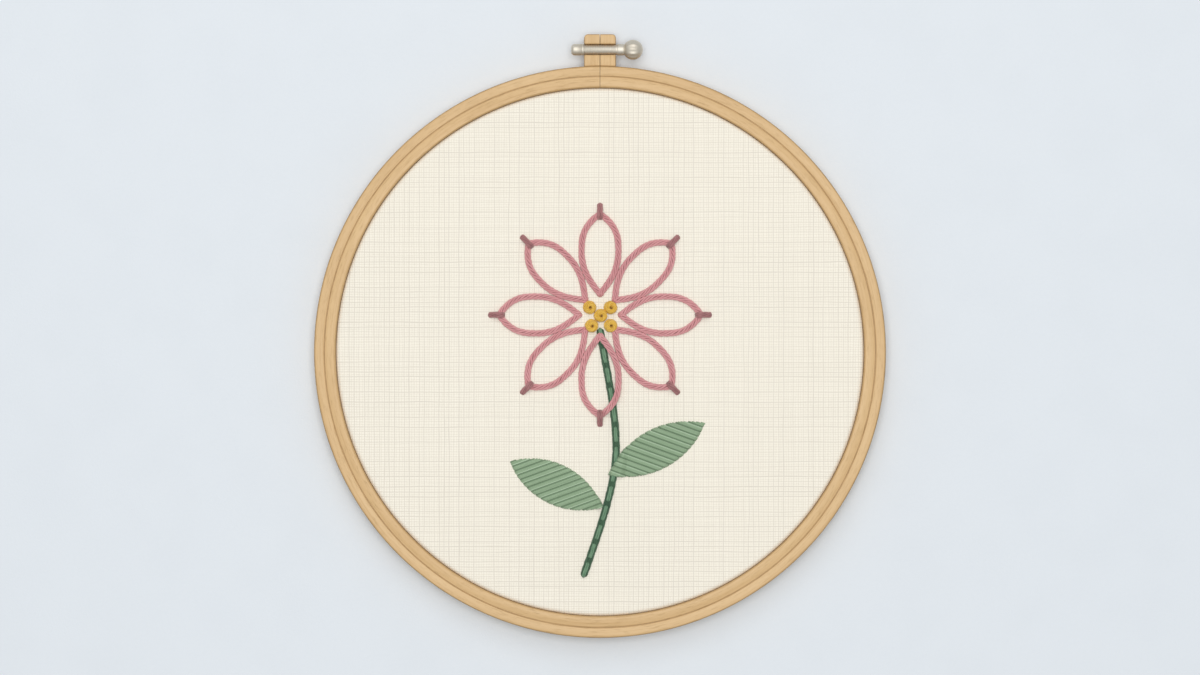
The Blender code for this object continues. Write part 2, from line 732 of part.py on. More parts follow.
def main():
    """Builds every piece of the hoop, the linen and the embroidery."""
    clear_scene()
    hoop_centre = make_hoop_centre()
    wood = make_material(WOOD)
    metal = make_material(METAL)
    make_outer_ring(wood, hoop_centre)
    make_inner_ring(wood, hoop_centre)
    make_linen(make_material(LINEN), hoop_centre)
    cutter = make_slot_cutter(hoop_centre)
    make_lug("lug_left", -1, wood, cutter, hoop_centre)
    make_lug("lug_right", 1, wood, cutter, hoop_centre)
    make_thumbscrew(metal, hoop_centre)
    make_cap_nut(metal, hoop_centre)
    line = stem_line()
    make_stem(make_material(DARK_GREEN), line, hoop_centre)
    make_flower(make_material(PINK), make_material(DARK_PINK), line, hoop_centre)
    make_knots(make_material(GOLD), hoop_centre)
    sage = make_material(SAGE)
    for name, base, tip, slope in LEAVES:
        make_leaf(name, base, tip, slope, sage, line, hoop_centre)


main()
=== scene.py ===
"""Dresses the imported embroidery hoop: bent wood, clamp, linen and stitches, with camera and light.

Sizes are in millimetres from the hoop's middle, with +Y towards the clamp and +Z out of the
stitched face. A shape is moved into the frame and scaled to metres when it becomes an object.
"""

import logging
import math
from collections.abc import Mapping, Sequence
from dataclasses import dataclass, field
from enum import Enum

import bmesh
import bpy
import numpy as np
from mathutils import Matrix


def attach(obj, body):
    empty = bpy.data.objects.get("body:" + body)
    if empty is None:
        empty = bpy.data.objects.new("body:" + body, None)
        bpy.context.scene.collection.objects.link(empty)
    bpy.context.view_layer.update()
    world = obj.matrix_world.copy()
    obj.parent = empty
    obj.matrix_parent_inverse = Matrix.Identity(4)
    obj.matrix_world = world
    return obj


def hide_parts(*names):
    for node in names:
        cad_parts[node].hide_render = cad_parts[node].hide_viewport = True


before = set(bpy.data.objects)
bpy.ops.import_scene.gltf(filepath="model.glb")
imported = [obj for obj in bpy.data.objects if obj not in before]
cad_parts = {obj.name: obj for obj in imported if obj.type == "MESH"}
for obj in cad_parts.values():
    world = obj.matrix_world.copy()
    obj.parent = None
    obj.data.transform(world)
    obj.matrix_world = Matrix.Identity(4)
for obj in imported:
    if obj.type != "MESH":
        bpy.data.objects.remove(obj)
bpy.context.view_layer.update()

LOG = logging.getLogger("embroidery_hoop")

MM = 0.001
HOOP_MIDDLE = np.array((0.0, -4.6, 0.0))
LINEN_FACE = 8.3
LINEN_BACK = 7.85
CLAMP_Y = 87.3
CLAMP_Z = 7.2
FLOWER_CENTRE = (0.0, 10.7)
QUARTER_TURN = 90.0
SMOOTH_ALL_ROUND = 180.0

Colour = tuple[float, float, float, float]
Socket = bpy.types.NodeSocket
Feed = Socket | float | tuple[float, ...]
Faces = list[tuple[int, ...]]
Outline = tuple[np.ndarray, np.ndarray]


class Body(Enum):
    """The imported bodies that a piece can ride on."""

    HOOP = "hoop"
    CLAMP_SCREW = "clamp_screw"


class Side(Enum):
    """The two sides of the clamp, as the sign of their X."""

    LEFT = -1
    RIGHT = 1


def rgb(red: float, green: float, blue: float) -> Colour:
    """An opaque colour from linear red, green and blue."""
    return (red, green, blue, 1.0)


# ---------------------------------------------------------------- shapes


@dataclass
class Shape:
    """A mesh in the making: points from the hoop's middle, and faces as corner numbers.

    Attributes:
        points: One row of X, Y and Z for each point, in millimetres.
        faces: Each face's points.
        fields: What the materials read at each point, by name: one number, or three.
    """

    points: np.ndarray
    faces: Faces
    fields: dict[str, np.ndarray] = field(default_factory=dict)

    @classmethod
    def joined(cls, shapes: "Sequence[Shape]") -> "Shape":
        """Puts several shapes into one.

        Args:
            shapes: Shapes that all have the same fields.

        Returns:
            One shape with the points, faces and fields of all of them.
        """
        faces: Faces = []
        first = 0
        for shape in shapes:
            faces.extend(tuple(corner + first for corner in face) for face in shape.faces)
            first += len(shape.points)
        fields = {
            name: np.concatenate([shape.fields[name] for shape in shapes])
            for name in shapes[0].fields
        }
        return cls(np.concatenate([shape.points for shape in shapes]), faces, fields)

    def as_object(self, name: str, sharp_from: float = SMOOTH_ALL_ROUND) -> bpy.types.Object:
        """Makes a smooth-shaded object in the frame's place and in metres.

        Args:
            name: The new object's name.
            sharp_from: The angle between two faces, in degrees, from which their edge stays sharp.

        Returns:
            The object, linked into the scene.
        """
        mesh = bpy.data.meshes.new(name)
        mesh.from_pydata(((self.points + HOOP_MIDDLE) * MM).tolist(), [], self.faces)
        for field_name, values in self.fields.items():
            kind, slot = ("FLOAT", "value") if values.ndim == 1 else ("FLOAT_VECTOR", "vector")
            attribute = mesh.attributes.new(field_name, kind, "POINT")
            attribute.data.foreach_set(slot, values.astype(np.float32).ravel())
        shell = bmesh.new()
        shell.from_mesh(mesh)
        bmesh.ops.recalc_face_normals(shell, faces=shell.faces)
        shell.to_mesh(mesh)
        shell.free()
        mesh.shade_smooth()
        if sharp_from < SMOOTH_ALL_ROUND:
            mesh.set_sharp_from_angle(angle=math.radians(sharp_from))
        obj = bpy.data.objects.new(name, mesh)
        bpy.context.scene.collection.objects.link(obj)
        return obj


def grid_faces(rows: int, columns: int, round_columns: bool = True) -> Faces:
    """Faces between neighbouring rows of points.

    Args:
        rows: How many rows there are.
        columns: How many points a row has.
        round_columns: Whether the last point of a row is next to its first.

    Returns:
        Four-sided faces, for points that are numbered row by row.
    """
    row, column = np.meshgrid(
        np.arange(rows - 1), np.arange(columns if round_columns else columns - 1), indexing="ij"
    )
    following = (column + 1) % columns
    corners = (
        row * columns + column,
        row * columns + following,
        (row + 1) * columns + following,
        (row + 1) * columns + column,
    )
    return [tuple(face) for face in np.stack(corners, axis=-1).reshape(-1, 4).tolist()]


def tube_faces(rows: int, columns: int) -> Faces:
    """Faces of a closed tube: its walls from row to row, and one face over each end."""
    ends = [tuple(range(columns)), tuple(range((rows - 1) * columns, rows * columns))]
    return grid_faces(rows, columns) + ends


def arc(
    centre: tuple[float, float], radius: float, start: float, end: float, steps: int
) -> np.ndarray:
    """Points of an arc in a plane, both ends included.

    Args:
        centre: The arc's centre.
        radius: Its radius.
        start: The angle of its first point, in degrees.
        end: The angle of its last point, in degrees.
        steps: How many steps lie between them.

    Returns:
        One row for each point.
    """
    angles = np.radians(np.linspace(start, end, steps + 1))
    return np.stack(
        (centre[0] + radius * np.cos(angles), centre[1] + radius * np.sin(angles)), axis=1
    )


def quarter_round(
    centre: tuple[float, float], radius: float, start: float, steps: int, most: float = 1.0
) -> Outline:
    """A rounded corner of a solid's section.

    Args:
        centre: The corner's centre.
        radius: Its radius.
        start: The angle of its first point, in degrees. It goes on for a quarter turn.
        steps: How many steps it has.
        most: The edge mask where the corner faces sideways, partly the wood's own darker edge and
            partly painted shade. It fades towards up and down.

    Returns:
        The corner's points, and the edge mask at each.
    """
    end = start + QUARTER_TURN
    sideways = np.abs(np.cos(np.radians(np.linspace(start, end, steps + 1))))
    # Painted shade, with the wood's own darker edge: the mask is strongest where the rounding turns
    # sideways, away from the light above.
    return arc(centre, radius, start, end, steps), most * smooth_share(sideways, 0.2, 0.85)


def straight(*points: tuple[float, float]) -> Outline:
    """A straight run of a solid's section, and its edge mask, which is nowhere on an edge."""
    return np.array(points), np.zeros(len(points))


def one_outline(parts: Sequence[Outline]) -> Outline:
    """Runs parts of an outline together: all their points, and the edge mask at each."""
    points, masks = zip(*parts)
    return np.concatenate(points), np.concatenate(masks)


def unit(vectors: np.ndarray) -> np.ndarray:
    """Each row's vector at length one."""
    return vectors / np.maximum(np.linalg.norm(vectors, axis=-1, keepdims=True), 1e-9)


def smooth_share(values: np.ndarray, start: float, end: float) -> np.ndarray:
    """How far each value is from start to end, from 0 to 1, with soft ends."""
    share = np.clip((values - start) / (end - start), 0.0, 1.0)
    return share * share * (3.0 - 2.0 * share)


def travelled(route: np.ndarray) -> np.ndarray:
    """The distance along a route at each of its points."""
    steps = np.linalg.norm(np.diff(route, axis=0), axis=1)
    return np.concatenate(([0.0], np.cumsum(steps)))


def along_route(route: np.ndarray, distances: np.ndarray) -> np.ndarray:
    """The points of a route at these distances from its start."""
    so_far = travelled(route)
    return np.stack([np.interp(distances, so_far, axis) for axis in route.T], axis=1)


def evenly(route: np.ndarray, step: float) -> np.ndarray:
    """The route again, with its points a step apart."""
    length = travelled(route)[-1]
    return along_route(route, np.linspace(0.0, length, max(int(length / step), 2) + 1))


def rounded(route: np.ndarray, passes: int) -> np.ndarray:
    """Eases a route's corners, and keeps its two ends.

    Args:
        route: The route's points.
        passes: How many times each point is drawn towards its neighbours.

    Returns:
        The eased route.
    """
    eased = route.copy()
    for _ in range(passes):
        eased[1:-1] = (eased[:-2] + 2.0 * eased[1:-1] + eased[2:]) / 4.0
    return eased


def from_ends(along: np.ndarray) -> np.ndarray:
    """How far each point of a route is from the nearer end, from its distances along it."""
    return np.minimum(along, along[-1] - along)


# ---------------------------------------------------------------- shader groups


class NodeDesk:
    """Puts nodes into one node tree and joins them."""

    def __init__(self, tree: bpy.types.NodeTree) -> None:
        """Takes the tree that the nodes go into."""
        self.tree = tree

    def feed(self, socket: Socket, value: Feed) -> None:
        """Joins a socket to another, or sets its own value.

        Args:
            socket: The socket that takes the value.
            value: Another node's output, or the value itself.
        """
        if isinstance(value, Socket):
            self.tree.links.new(value, socket)
        else:
            socket.default_value = value

    def put(self, kind: str, **sockets: Feed) -> bpy.types.Node:
        """Adds a node.

        Args:
            kind: Blender's name for the node's type.
            sockets: What goes into its inputs, by name, with _ for a space.

        Returns:
            The new node.
        """
        node = self.tree.nodes.new(kind)
        for name, value in sockets.items():
            self.feed(node.inputs[name.replace("_", " ")], value)
        return node

    def math(self, operation: str, *values: Feed) -> Socket:
        """Adds a Math node.

        Args:
            operation: Blender's name for what it works out.
            values: What it works on.

        Returns:
            Its result.
        """
        node = self.tree.nodes.new("ShaderNodeMath")
        node.operation = operation
        for socket, value in zip(node.inputs, values):
            self.feed(socket, value)
        return node.outputs[0]

    def stretched(self, place: Feed, factors: tuple[float, float, float]) -> Socket:
        """Adds a node that multiplies a place by a factor along each axis.

        Args:
            place: The place.
            factors: The factors along X, Y and Z.

        Returns:
            The stretched place.
        """
        node = self.tree.nodes.new("ShaderNodeVectorMath")
        node.operation = "MULTIPLY"
        self.feed(node.inputs[0], place)
        node.inputs[1].default_value = factors
        return node.outputs[0]

    def noise(self, place: Feed, scale: float, detail: float = 2.0) -> Socket:
        """Adds a noise texture, and gives its value from 0 to 1."""
        node = self.put("ShaderNodeTexNoise", Vector=place, Scale=scale, Detail=detail)
        return node.outputs["Fac"]

    def chance(self, number: Feed) -> Socket:
        """Adds a node that gives each whole number a chance value.

        Args:
            number: The whole number.

        Returns:
            Its value, from 0 to 1.
        """
        node = self.tree.nodes.new("ShaderNodeTexWhiteNoise")
        node.noise_dimensions = "1D"
        self.feed(node.inputs["W"], number)
        return node.outputs["Value"]

    def ramp(
        self, value: Feed, low: float, high: float, start: float = 0.0, end: float = 1.0
    ) -> Socket:
        """Adds a node that takes values from low to high smoothly to start and end.

        Args:
            value: The value.
            low: Where the ramp begins.
            high: Where it is over.
            start: What it gives up to low.
            end: What it gives from high on.

        Returns:
            The ramp's result.
        """
        limits = {"From_Min": low, "From_Max": high, "To_Min": start, "To_Max": end}
        node = self.put("ShaderNodeMapRange", Value=value, **limits)
        node.interpolation_type = "SMOOTHSTEP"
        return node.outputs["Result"]

    def blend(self, share: Feed, first: Feed, second: Feed) -> Socket:
        """Adds a node that mixes two colours.

        Args:
            share: How much of the second there is, from 0 to 1.
            first: The first colour.
            second: The second colour.

        Returns:
            The mixed colour.
        """
        node = self.tree.nodes.new("ShaderNodeMix")
        node.data_type = "RGBA"
        self.feed(node.inputs["Factor"], share)
        self.feed(node.inputs[6], first)
        self.feed(node.inputs[7], second)
        return node.outputs[2]

    def parts(self, place: Feed) -> tuple[Socket, ...]:
        """Adds a node that splits a place into its X, Y and Z."""
        return tuple(self.put("ShaderNodeSeparateXYZ", Vector=place).outputs)


class Kind(Enum):
    """The kinds of socket that a shader group has."""

    COLOUR = "NodeSocketColor"
    NUMBER = "NodeSocketFloat"
    PLACE = "NodeSocketVector"


@dataclass
class ShaderGroup:
    """A node group in the making, with its desk and the sockets that go in and out.

    Attributes:
        tree: The group.
        desk: Puts nodes into it.
        given: The group's inputs, as its nodes read them.
        found: The group's outputs, as its nodes feed them.
    """

    tree: bpy.types.NodeTree
    desk: NodeDesk
    given: Mapping[str, Socket]
    found: Mapping[str, Socket]

    @classmethod
    def named(
        cls, name: str, inputs: Mapping[str, Kind], outputs: Mapping[str, Kind]
    ) -> "ShaderGroup":
        """Starts an empty group.

        Args:
            name: The group's name.
            inputs: Its inputs by name.
            outputs: Its outputs by name.

        Returns:
            The group, with nothing between its inputs and outputs.
        """
        tree = bpy.data.node_groups.new(name, "ShaderNodeTree")
        for direction, sockets in (("INPUT", inputs), ("OUTPUT", outputs)):
            for socket_name, kind in sockets.items():
                tree.interface.new_socket(socket_name, in_out=direction, socket_type=kind.value)
        entry = tree.nodes.new("NodeGroupInput")
        way_out = tree.nodes.new("NodeGroupOutput")
        given = {socket_name: entry.outputs[socket_name] for socket_name in inputs}
        found = {socket_name: way_out.inputs[socket_name] for socket_name in outputs}
        return cls(tree, NodeDesk(tree), given, found)


@dataclass
class SharedEffects:
    """The shader groups that the finishes share, each built once.

    Attributes:
        growth: How fine the wood's growth rings are along X, Y and Z, for each millimetre.
        streaks: The same for its darker streaks, and streak_strength is how dark they are.
        pores: The same for its pores, and pore_strength and pore_depth are how dark and deep.
        warp_drift: How fast the warp threads drift sideways along X, Y and Z, for each thread.
        weft_drift: The same for the weft threads.
        thread_drift: How far a thread drifts, in threads.
        tone_strength: How much a dark thread differs from a pale one.
        line_strength: How strong the painted shade lines between pairs of threads are.
        tone_relief: How much higher a dark thread stands.
        fibres: How fine the floss's fibres are along and round a strand.
        fibre_relief: How high they stand beside the plies.
        ply_strength: How dark the painted shade in the lines between plies is.
        crease_strength: How dark the painted shade in the creases between strands is.
    """

    growth: tuple[float, float, float] = (0.012, 0.55, 0.40)
    streaks: tuple[float, float, float] = (0.045, 3.2, 2.6)
    streak_strength: float = 0.42
    pores: tuple[float, float, float] = (0.22, 9.0, 9.0)
    pore_strength: float = 0.28
    pore_depth: float = -0.6
    warp_drift: tuple[float, float, float] = (0.5, 0.045, 1.0)
    weft_drift: tuple[float, float, float] = (0.045, 0.5, 1.0)
    thread_drift: float = 0.9
    tone_strength: float = 0.12
    line_strength: float = 0.84
    tone_relief: float = 0.08
    fibres: tuple[float, float, float] = (0.35, 5.0, 5.0)
    fibre_relief: float = 0.35
    ply_strength: float = 0.28
    crease_strength: float = 0.85

    def __post_init__(self) -> None:
        """Builds every group."""
        self.bent_grain = self.build_bent_grain()
        self.edge_wear_and_shade = self.build_edge_wear_and_shade()
        self.mottle = self.build_mottle()
        self.plain_weave = self.build_plain_weave()
        self.floss_plies = self.build_floss_plies()

    def build_bent_grain(self) -> bpy.types.NodeTree:
        """Wood grain along X of the place it is given, which is in millimetres.

        Returns:
            A group with the colour, roughness and height of planed wood.
        """
        group = ShaderGroup.named(
            "bent_grain",
            {
                "Place": Kind.PLACE,
                "Light": Kind.COLOUR,
                "Middle": Kind.COLOUR,
                "Dark": Kind.COLOUR,
            },
            {"Colour": Kind.COLOUR, "Roughness": Kind.NUMBER, "Height": Kind.NUMBER},
        )
        desk, place, dark = group.desk, group.given["Place"], group.given["Dark"]
        growth = desk.noise(desk.stretched(place, self.growth), 1.0, 3.0)
        streaks = desk.noise(desk.stretched(place, self.streaks), 1.0, 4.0)
        pores = desk.ramp(desk.noise(desk.stretched(place, self.pores), 1.0), 0.60, 0.72)
        in_growth = desk.ramp(growth, 0.30, 0.70)
        toned = desk.blend(in_growth, group.given["Light"], group.given["Middle"])
        in_streak = desk.ramp(streaks, 0.52, 0.80, 0.0, self.streak_strength)
        in_pore = desk.math("MULTIPLY", pores, self.pore_strength)
        pored = desk.blend(in_pore, desk.blend(in_streak, toned, dark), dark)
        lowered = desk.math("MULTIPLY", pores, self.pore_depth)
        desk.feed(group.found["Colour"], pored)
        desk.feed(group.found["Roughness"], desk.ramp(streaks, 0.2, 0.8, 0.46, 0.62))
        desk.feed(group.found["Height"], desk.math("ADD", streaks, lowered))
        return group.tree

    def build_edge_wear_and_shade(self) -> bpy.types.NodeTree:
        """Edges in another tone, from a mask of where the edges are: rubbed brighter on the nickel,
        and darker on the wood, partly its own tone and partly painted shade.

        Returns:
            A group with the colour, and a mask of how much of the edges' tone each place takes.
        """
        group = ShaderGroup.named(
            "edge_wear_and_shade",
            {
                "Colour": Kind.COLOUR,
                "Worn": Kind.COLOUR,
                "Edge": Kind.NUMBER,
                "Amount": Kind.NUMBER,
                "Place": Kind.PLACE,
            },
            {"Colour": Kind.COLOUR, "Mask": Kind.NUMBER},
        )
        desk = group.desk
        patches = desk.ramp(desk.noise(group.given["Place"], 0.35, 3.0), 0.3, 0.7, 0.65, 1.0)
        # On the wood this mask is partly painted shade.
        edged = desk.math("MULTIPLY", group.given["Edge"], group.given["Amount"])
        mask = desk.math("MULTIPLY", edged, patches)
        colour = desk.blend(mask, group.given["Colour"], group.given["Worn"])
        desk.feed(group.found["Mask"], mask)
        desk.feed(group.found["Colour"], colour)
        return group.tree

    def build_mottle(self) -> bpy.types.NodeTree:
        """Faint uneven patches of tone, as on anything handled or dyed.

        Returns:
            A group with the colour, and a mask of the darker patches.
        """
        group = ShaderGroup.named(
            "mottle",
            {
                "Colour": Kind.COLOUR,
                "Patch": Kind.COLOUR,
                "Amount": Kind.NUMBER,
                "Place": Kind.PLACE,
            },
            {"Colour": Kind.COLOUR, "Mask": Kind.NUMBER},
        )
        desk, place = group.desk, group.given["Place"]
        broad = desk.ramp(desk.noise(place, 0.06, 3.0), 0.35, 0.75)
        small = desk.ramp(desk.noise(place, 0.9, 4.0), 0.45, 0.75, 0.0, 0.5)
        mask = desk.math("MULTIPLY", desk.math("ADD", broad, small), group.given["Amount"])
        colour = desk.blend(mask, group.given["Colour"], group.given["Patch"])
        desk.feed(group.found["Mask"], mask)
        desk.feed(group.found["Colour"], colour)
        return group.tree

    def build_plain_weave(self) -> bpy.types.NodeTree:
        """Plain weave in X and Y of the place it is given, in threads.

        Returns:
            A group with the colour and height of the cloth, each thread with a tone of its own, with
            painted shade between threads and between pairs of threads.
        """
        group = ShaderGroup.named(
            "plain_weave",
            {
                "Place": Kind.PLACE,
                "Thread": Kind.COLOUR,
                "Gap": Kind.COLOUR,
                "Slub": Kind.COLOUR,
            },
            {"Colour": Kind.COLOUR, "Roughness": Kind.NUMBER, "Height": Kind.NUMBER},
        )
        desk, place, slub = group.desk, group.given["Place"], group.given["Slub"]
        threads = []
        for across, drift in zip(desk.parts(place), (self.warp_drift, self.weft_drift)):
            aside = desk.noise(desk.stretched(place, drift), 1.0, 1.0)
            drifted = desk.math("ADD", across, desk.math("MULTIPLY", aside, self.thread_drift))
            threads.append(self.thread_of(desk, drifted))
        warp, weft = threads
        parity = desk.math("PINGPONG", desk.math("ADD", warp["number"], weft["number"]), 1.0)
        half_warp = desk.math("MULTIPLY_ADD", warp["round"], 0.5, 0.5)
        half_weft = desk.math("MULTIPLY_ADD", weft["round"], 0.5, 0.5)
        warp_up = desk.math("MULTIPLY", warp["round"], half_weft)
        weft_up = desk.math("MULTIPLY", weft["round"], half_warp)
        over = desk.math("MULTIPLY", warp_up, parity)
        under = desk.math("MULTIPLY", weft_up, desk.math("SUBTRACT", 1.0, parity))
        height = desk.math("ADD", over, under)
        # Painted shade: the cloth darkens to the gap colour where the weave is low, between threads.
        in_thread = desk.ramp(height, 0.05, 0.55)
        cloth = desk.blend(in_thread, group.given["Gap"], group.given["Thread"])
        tones = desk.math("ADD", warp["tone"], weft["tone"])
        toned = desk.blend(desk.ramp(tones, 0.7, 1.9, 0.0, self.tone_strength), cloth, slub)
        # Painted shade: fine darker lines between pairs of threads, here and there, in the thicker
        # threads' colour.
        lines = desk.math("MAXIMUM", warp["line"], weft["line"])
        lined = desk.blend(desk.math("MULTIPLY", lines, self.line_strength), toned, slub)
        desk.feed(group.found["Colour"], lined)
        desk.feed(group.found["Roughness"], desk.ramp(height, 0.0, 1.0, 0.95, 0.82))
        desk.feed(group.found["Height"], desk.math("MULTIPLY_ADD", tones, self.tone_relief, height))
        return group.tree

    @staticmethod
    def thread_of(desk: NodeDesk, across: Socket) -> dict[str, Socket]:
        """Which thread of one direction a place is on, and how that thread looks there.

        Args:
            desk: Puts the nodes into the weave's group.
            across: The place across the threads, counted in threads.

        Returns:
            The thread's number, rounded height and tone, and a mask of the painted shade line
            between pairs.
        """
        number = desk.math("FLOOR", across)
        roundness = desk.math("SINE", desk.math("MULTIPLY", desk.math("FRACT", across), math.pi))
        in_pairs = desk.math("MULTIPLY", across, 0.5)
        gap = desk.math("ROUND", in_pairs)
        from_gap = desk.math("ABSOLUTE", desk.math("SUBTRACT", in_pairs, gap))
        strength = desk.ramp(desk.chance(gap), 0.0, 1.0, 0.30, 1.0)
        line = desk.math("MULTIPLY", desk.ramp(from_gap, 0.15, 0.04), strength)
        return {"number": number, "round": roundness, "tone": desk.chance(number), "line": line}

    def build_floss_plies(self) -> bpy.types.NodeTree:
        """Cotton floss: plies and fibres that wind round each strand, with painted shade in the
        creases between strands and in the lines between plies.

        Returns:
            A group with the colour, roughness and height of a strand's surface.
        """
        group = ShaderGroup.named(
            "floss_plies",
            {
                "Winding": Kind.PLACE,
                "Tone": Kind.NUMBER,
                "Crease": Kind.NUMBER,
                "Light": Kind.COLOUR,
                "Middle": Kind.COLOUR,
                "Deep": Kind.COLOUR,
            },
            {"Colour": Kind.COLOUR, "Roughness": Kind.NUMBER, "Height": Kind.NUMBER},
        )
        desk, winding, deep = group.desk, group.given["Winding"], group.given["Deep"]
        _, turn, quarter = desk.parts(winding)
        plies = desk.math("ABSOLUTE", desk.math("MULTIPLY", turn, quarter))
        fibres = desk.noise(desk.stretched(winding, self.fibres), 1.0, 3.0)
        # Tone is each strand's dye; on the satin leaves it also carries a painted highlight.
        dye = desk.ramp(desk.math("MULTIPLY_ADD", fibres, 0.5, group.given["Tone"]), 0.2, 1.3)
        strand = desk.blend(dye, group.given["Middle"], group.given["Light"])
        # Painted shade in the lines between plies.
        between_plies = desk.ramp(plies, 0.16, 0.0, 0.0, self.ply_strength)
        # Painted shade in the creases between strands.
        in_crease = desk.math("MULTIPLY", group.given["Crease"], self.crease_strength)
        creased = desk.blend(in_crease, desk.blend(between_plies, strand, deep), deep)
        desk.feed(group.found["Colour"], creased)
        desk.feed(group.found["Roughness"], desk.ramp(fibres, 0.2, 0.8, 0.42, 0.60))
        height = desk.math("MULTIPLY_ADD", fibres, self.fibre_relief, plies)
        desk.feed(group.found["Height"], height)
        return group.tree


# ---------------------------------------------------------------- finishes


class Dressing:
    """One material in the making: a Principled shader and what feeds it."""

    def __init__(self, name: str) -> None:
        """Starts a material.

        Args:
            name: The material's name.
        """
        self.material = bpy.data.materials.new(name)
        self.material.use_nodes = True
        self.desk = NodeDesk(self.material.node_tree)
        self.shader = self.material.node_tree.nodes["Principled BSDF"]

    def use(self, group: bpy.types.NodeTree, **sockets: Feed) -> Mapping[str, Socket]:
        """Places a shared group.

        Args:
            group: The shader group.
            sockets: What goes into its inputs, by name.

        Returns:
            Its outputs by name.
        """
        node = self.material.node_tree.nodes.new("ShaderNodeGroup")
        node.node_tree = group
        for name, value in sockets.items():
            self.desk.feed(node.inputs[name], value)
        return {socket.name: socket for socket in node.outputs}

    def field(self, name: str, output: str = "Vector") -> Socket:
        """Reads a shape's field.

        Args:
            name: The field's name.
            output: Vector for three numbers, or Fac for one.

        Returns:
            What the field holds at each point.
        """
        node = self.material.node_tree.nodes.new("ShaderNodeAttribute")
        node.attribute_name = name
        return node.outputs[output]

    def place_in_mm(self, factor: float = 1.0 / MM) -> Socket:
        """The object's own coordinates, as millimetres or times another factor."""
        node = self.material.node_tree.nodes.new("ShaderNodeTexCoord")
        return self.desk.stretched(node.outputs["Object"], (factor, factor, factor))

    def coat(self, kind: str, weight: float, roughness: float) -> None:
        """Sets the shader's upper layer, which is Coat or Sheen."""
        self.shader.inputs[f"{kind} Weight"].default_value = weight
        self.shader.inputs[f"{kind} Roughness"].default_value = roughness

    def finish(
        self, colour: Feed, roughness: Feed, height: Feed, relief: float
    ) -> bpy.types.Material:
        """Feeds the shader.

        Args:
            colour: The base colour.
            roughness: The roughness.
            height: The relief's height, from about 0 to 1.
            relief: How many metres a height of 1 stands for.

        Returns:
            The finished material.
        """
        bump = self.desk.put("ShaderNodeBump", Strength=1.0, Distance=relief, Height=height)
        self.desk.feed(self.shader.inputs["Base Color"], colour)
        self.desk.feed(self.shader.inputs["Roughness"], roughness)
        self.desk.feed(self.shader.inputs["Normal"], bump.outputs["Normal"])
        return self.material


@dataclass(frozen=True)
class WoodFinish:
    """Pale bent wood under thin matt varnish, with darker edges: partly the wood's own tone, partly
    painted shade.
    """

    slot: str = "hoop_wood"
    light: Colour = rgb(0.705, 0.468, 0.222)
    middle: Colour = rgb(0.658, 0.424, 0.190)
    dark: Colour = rgb(0.480, 0.280, 0.105)
    # edge: the rounded edges' darker brown, partly the wood's own tone and partly painted shade.
    edge: Colour = rgb(0.330, 0.185, 0.070)
    edge_amount: float = 0.85
    handled: float = 0.16
    relief: float = 0.00006

    def made(self, effects: SharedEffects) -> bpy.types.Material:
        """Makes the material, which reads the fields grain and edge.

        Args:
            effects: The shared shader groups.

        Returns:
            The material.
        """
        dressing = Dressing(self.slot)
        grain_place = dressing.field("grain")
        grain = dressing.use(
            effects.bent_grain,
            Place=grain_place,
            Light=self.light,
            Middle=self.middle,
            Dark=self.dark,
        )
        handled = dressing.use(
            effects.mottle,
            Colour=grain["Colour"],
            Patch=self.dark,
            Amount=self.handled,
            Place=grain_place,
        )
        # Darker edges, partly painted shade where the rounding turns sideways.
        edged = dressing.use(
            effects.edge_wear_and_shade,
            Colour=handled["Colour"],
            Worn=self.edge,
            Edge=dressing.field("edge", "Fac"),
            Amount=self.edge_amount,
            Place=grain_place,
        )
        dressing.coat("Coat", 0.12, 0.35)
        return dressing.finish(edged["Colour"], grain["Roughness"], grain["Height"], self.relief)


@dataclass(frozen=True)
class NickelFinish:
    """Satin nickel, turned on a lathe, with its edges rubbed brighter."""

    slot: str = "clamp_metal"
    colour: Colour = rgb(0.790, 0.732, 0.635)
    tarnish: Colour = rgb(0.610, 0.560, 0.470)
    rubbed: Colour = rgb(0.800, 0.765, 0.690)
    tarnished: float = 0.45
    edge_amount: float = 0.8
    turning: tuple[float, float, float] = (14.0, 0.25, 0.25)
    relief: float = 0.00001

    def made(self, effects: SharedEffects) -> bpy.types.Material:
        """Makes the material, which reads the field edge.

        Args:
            effects: The shared shader groups.

        Returns:
            The material.
        """
        dressing = Dressing(self.slot)
        desk, place = dressing.desk, dressing.place_in_mm()
        turned = desk.noise(desk.stretched(place, self.turning), 1.0)
        aged = dressing.use(
            effects.mottle,
            Colour=self.colour,
            Patch=self.tarnish,
            Amount=self.tarnished,
            Place=place,
        )
        edged = dressing.use(
            effects.edge_wear_and_shade,
            Colour=aged["Colour"],
            Worn=self.rubbed,
            Edge=dressing.field("edge", "Fac"),
            Amount=self.edge_amount,
            Place=place,
        )
        dressing.shader.inputs["Metallic"].default_value = 1.0
        satin = desk.ramp(turned, 0.2, 0.8, 0.48, 0.56)
        satin = desk.math("MULTIPLY_ADD", aged["Mask"], 0.25, satin)
        return dressing.finish(edged["Colour"], satin, turned, self.relief)


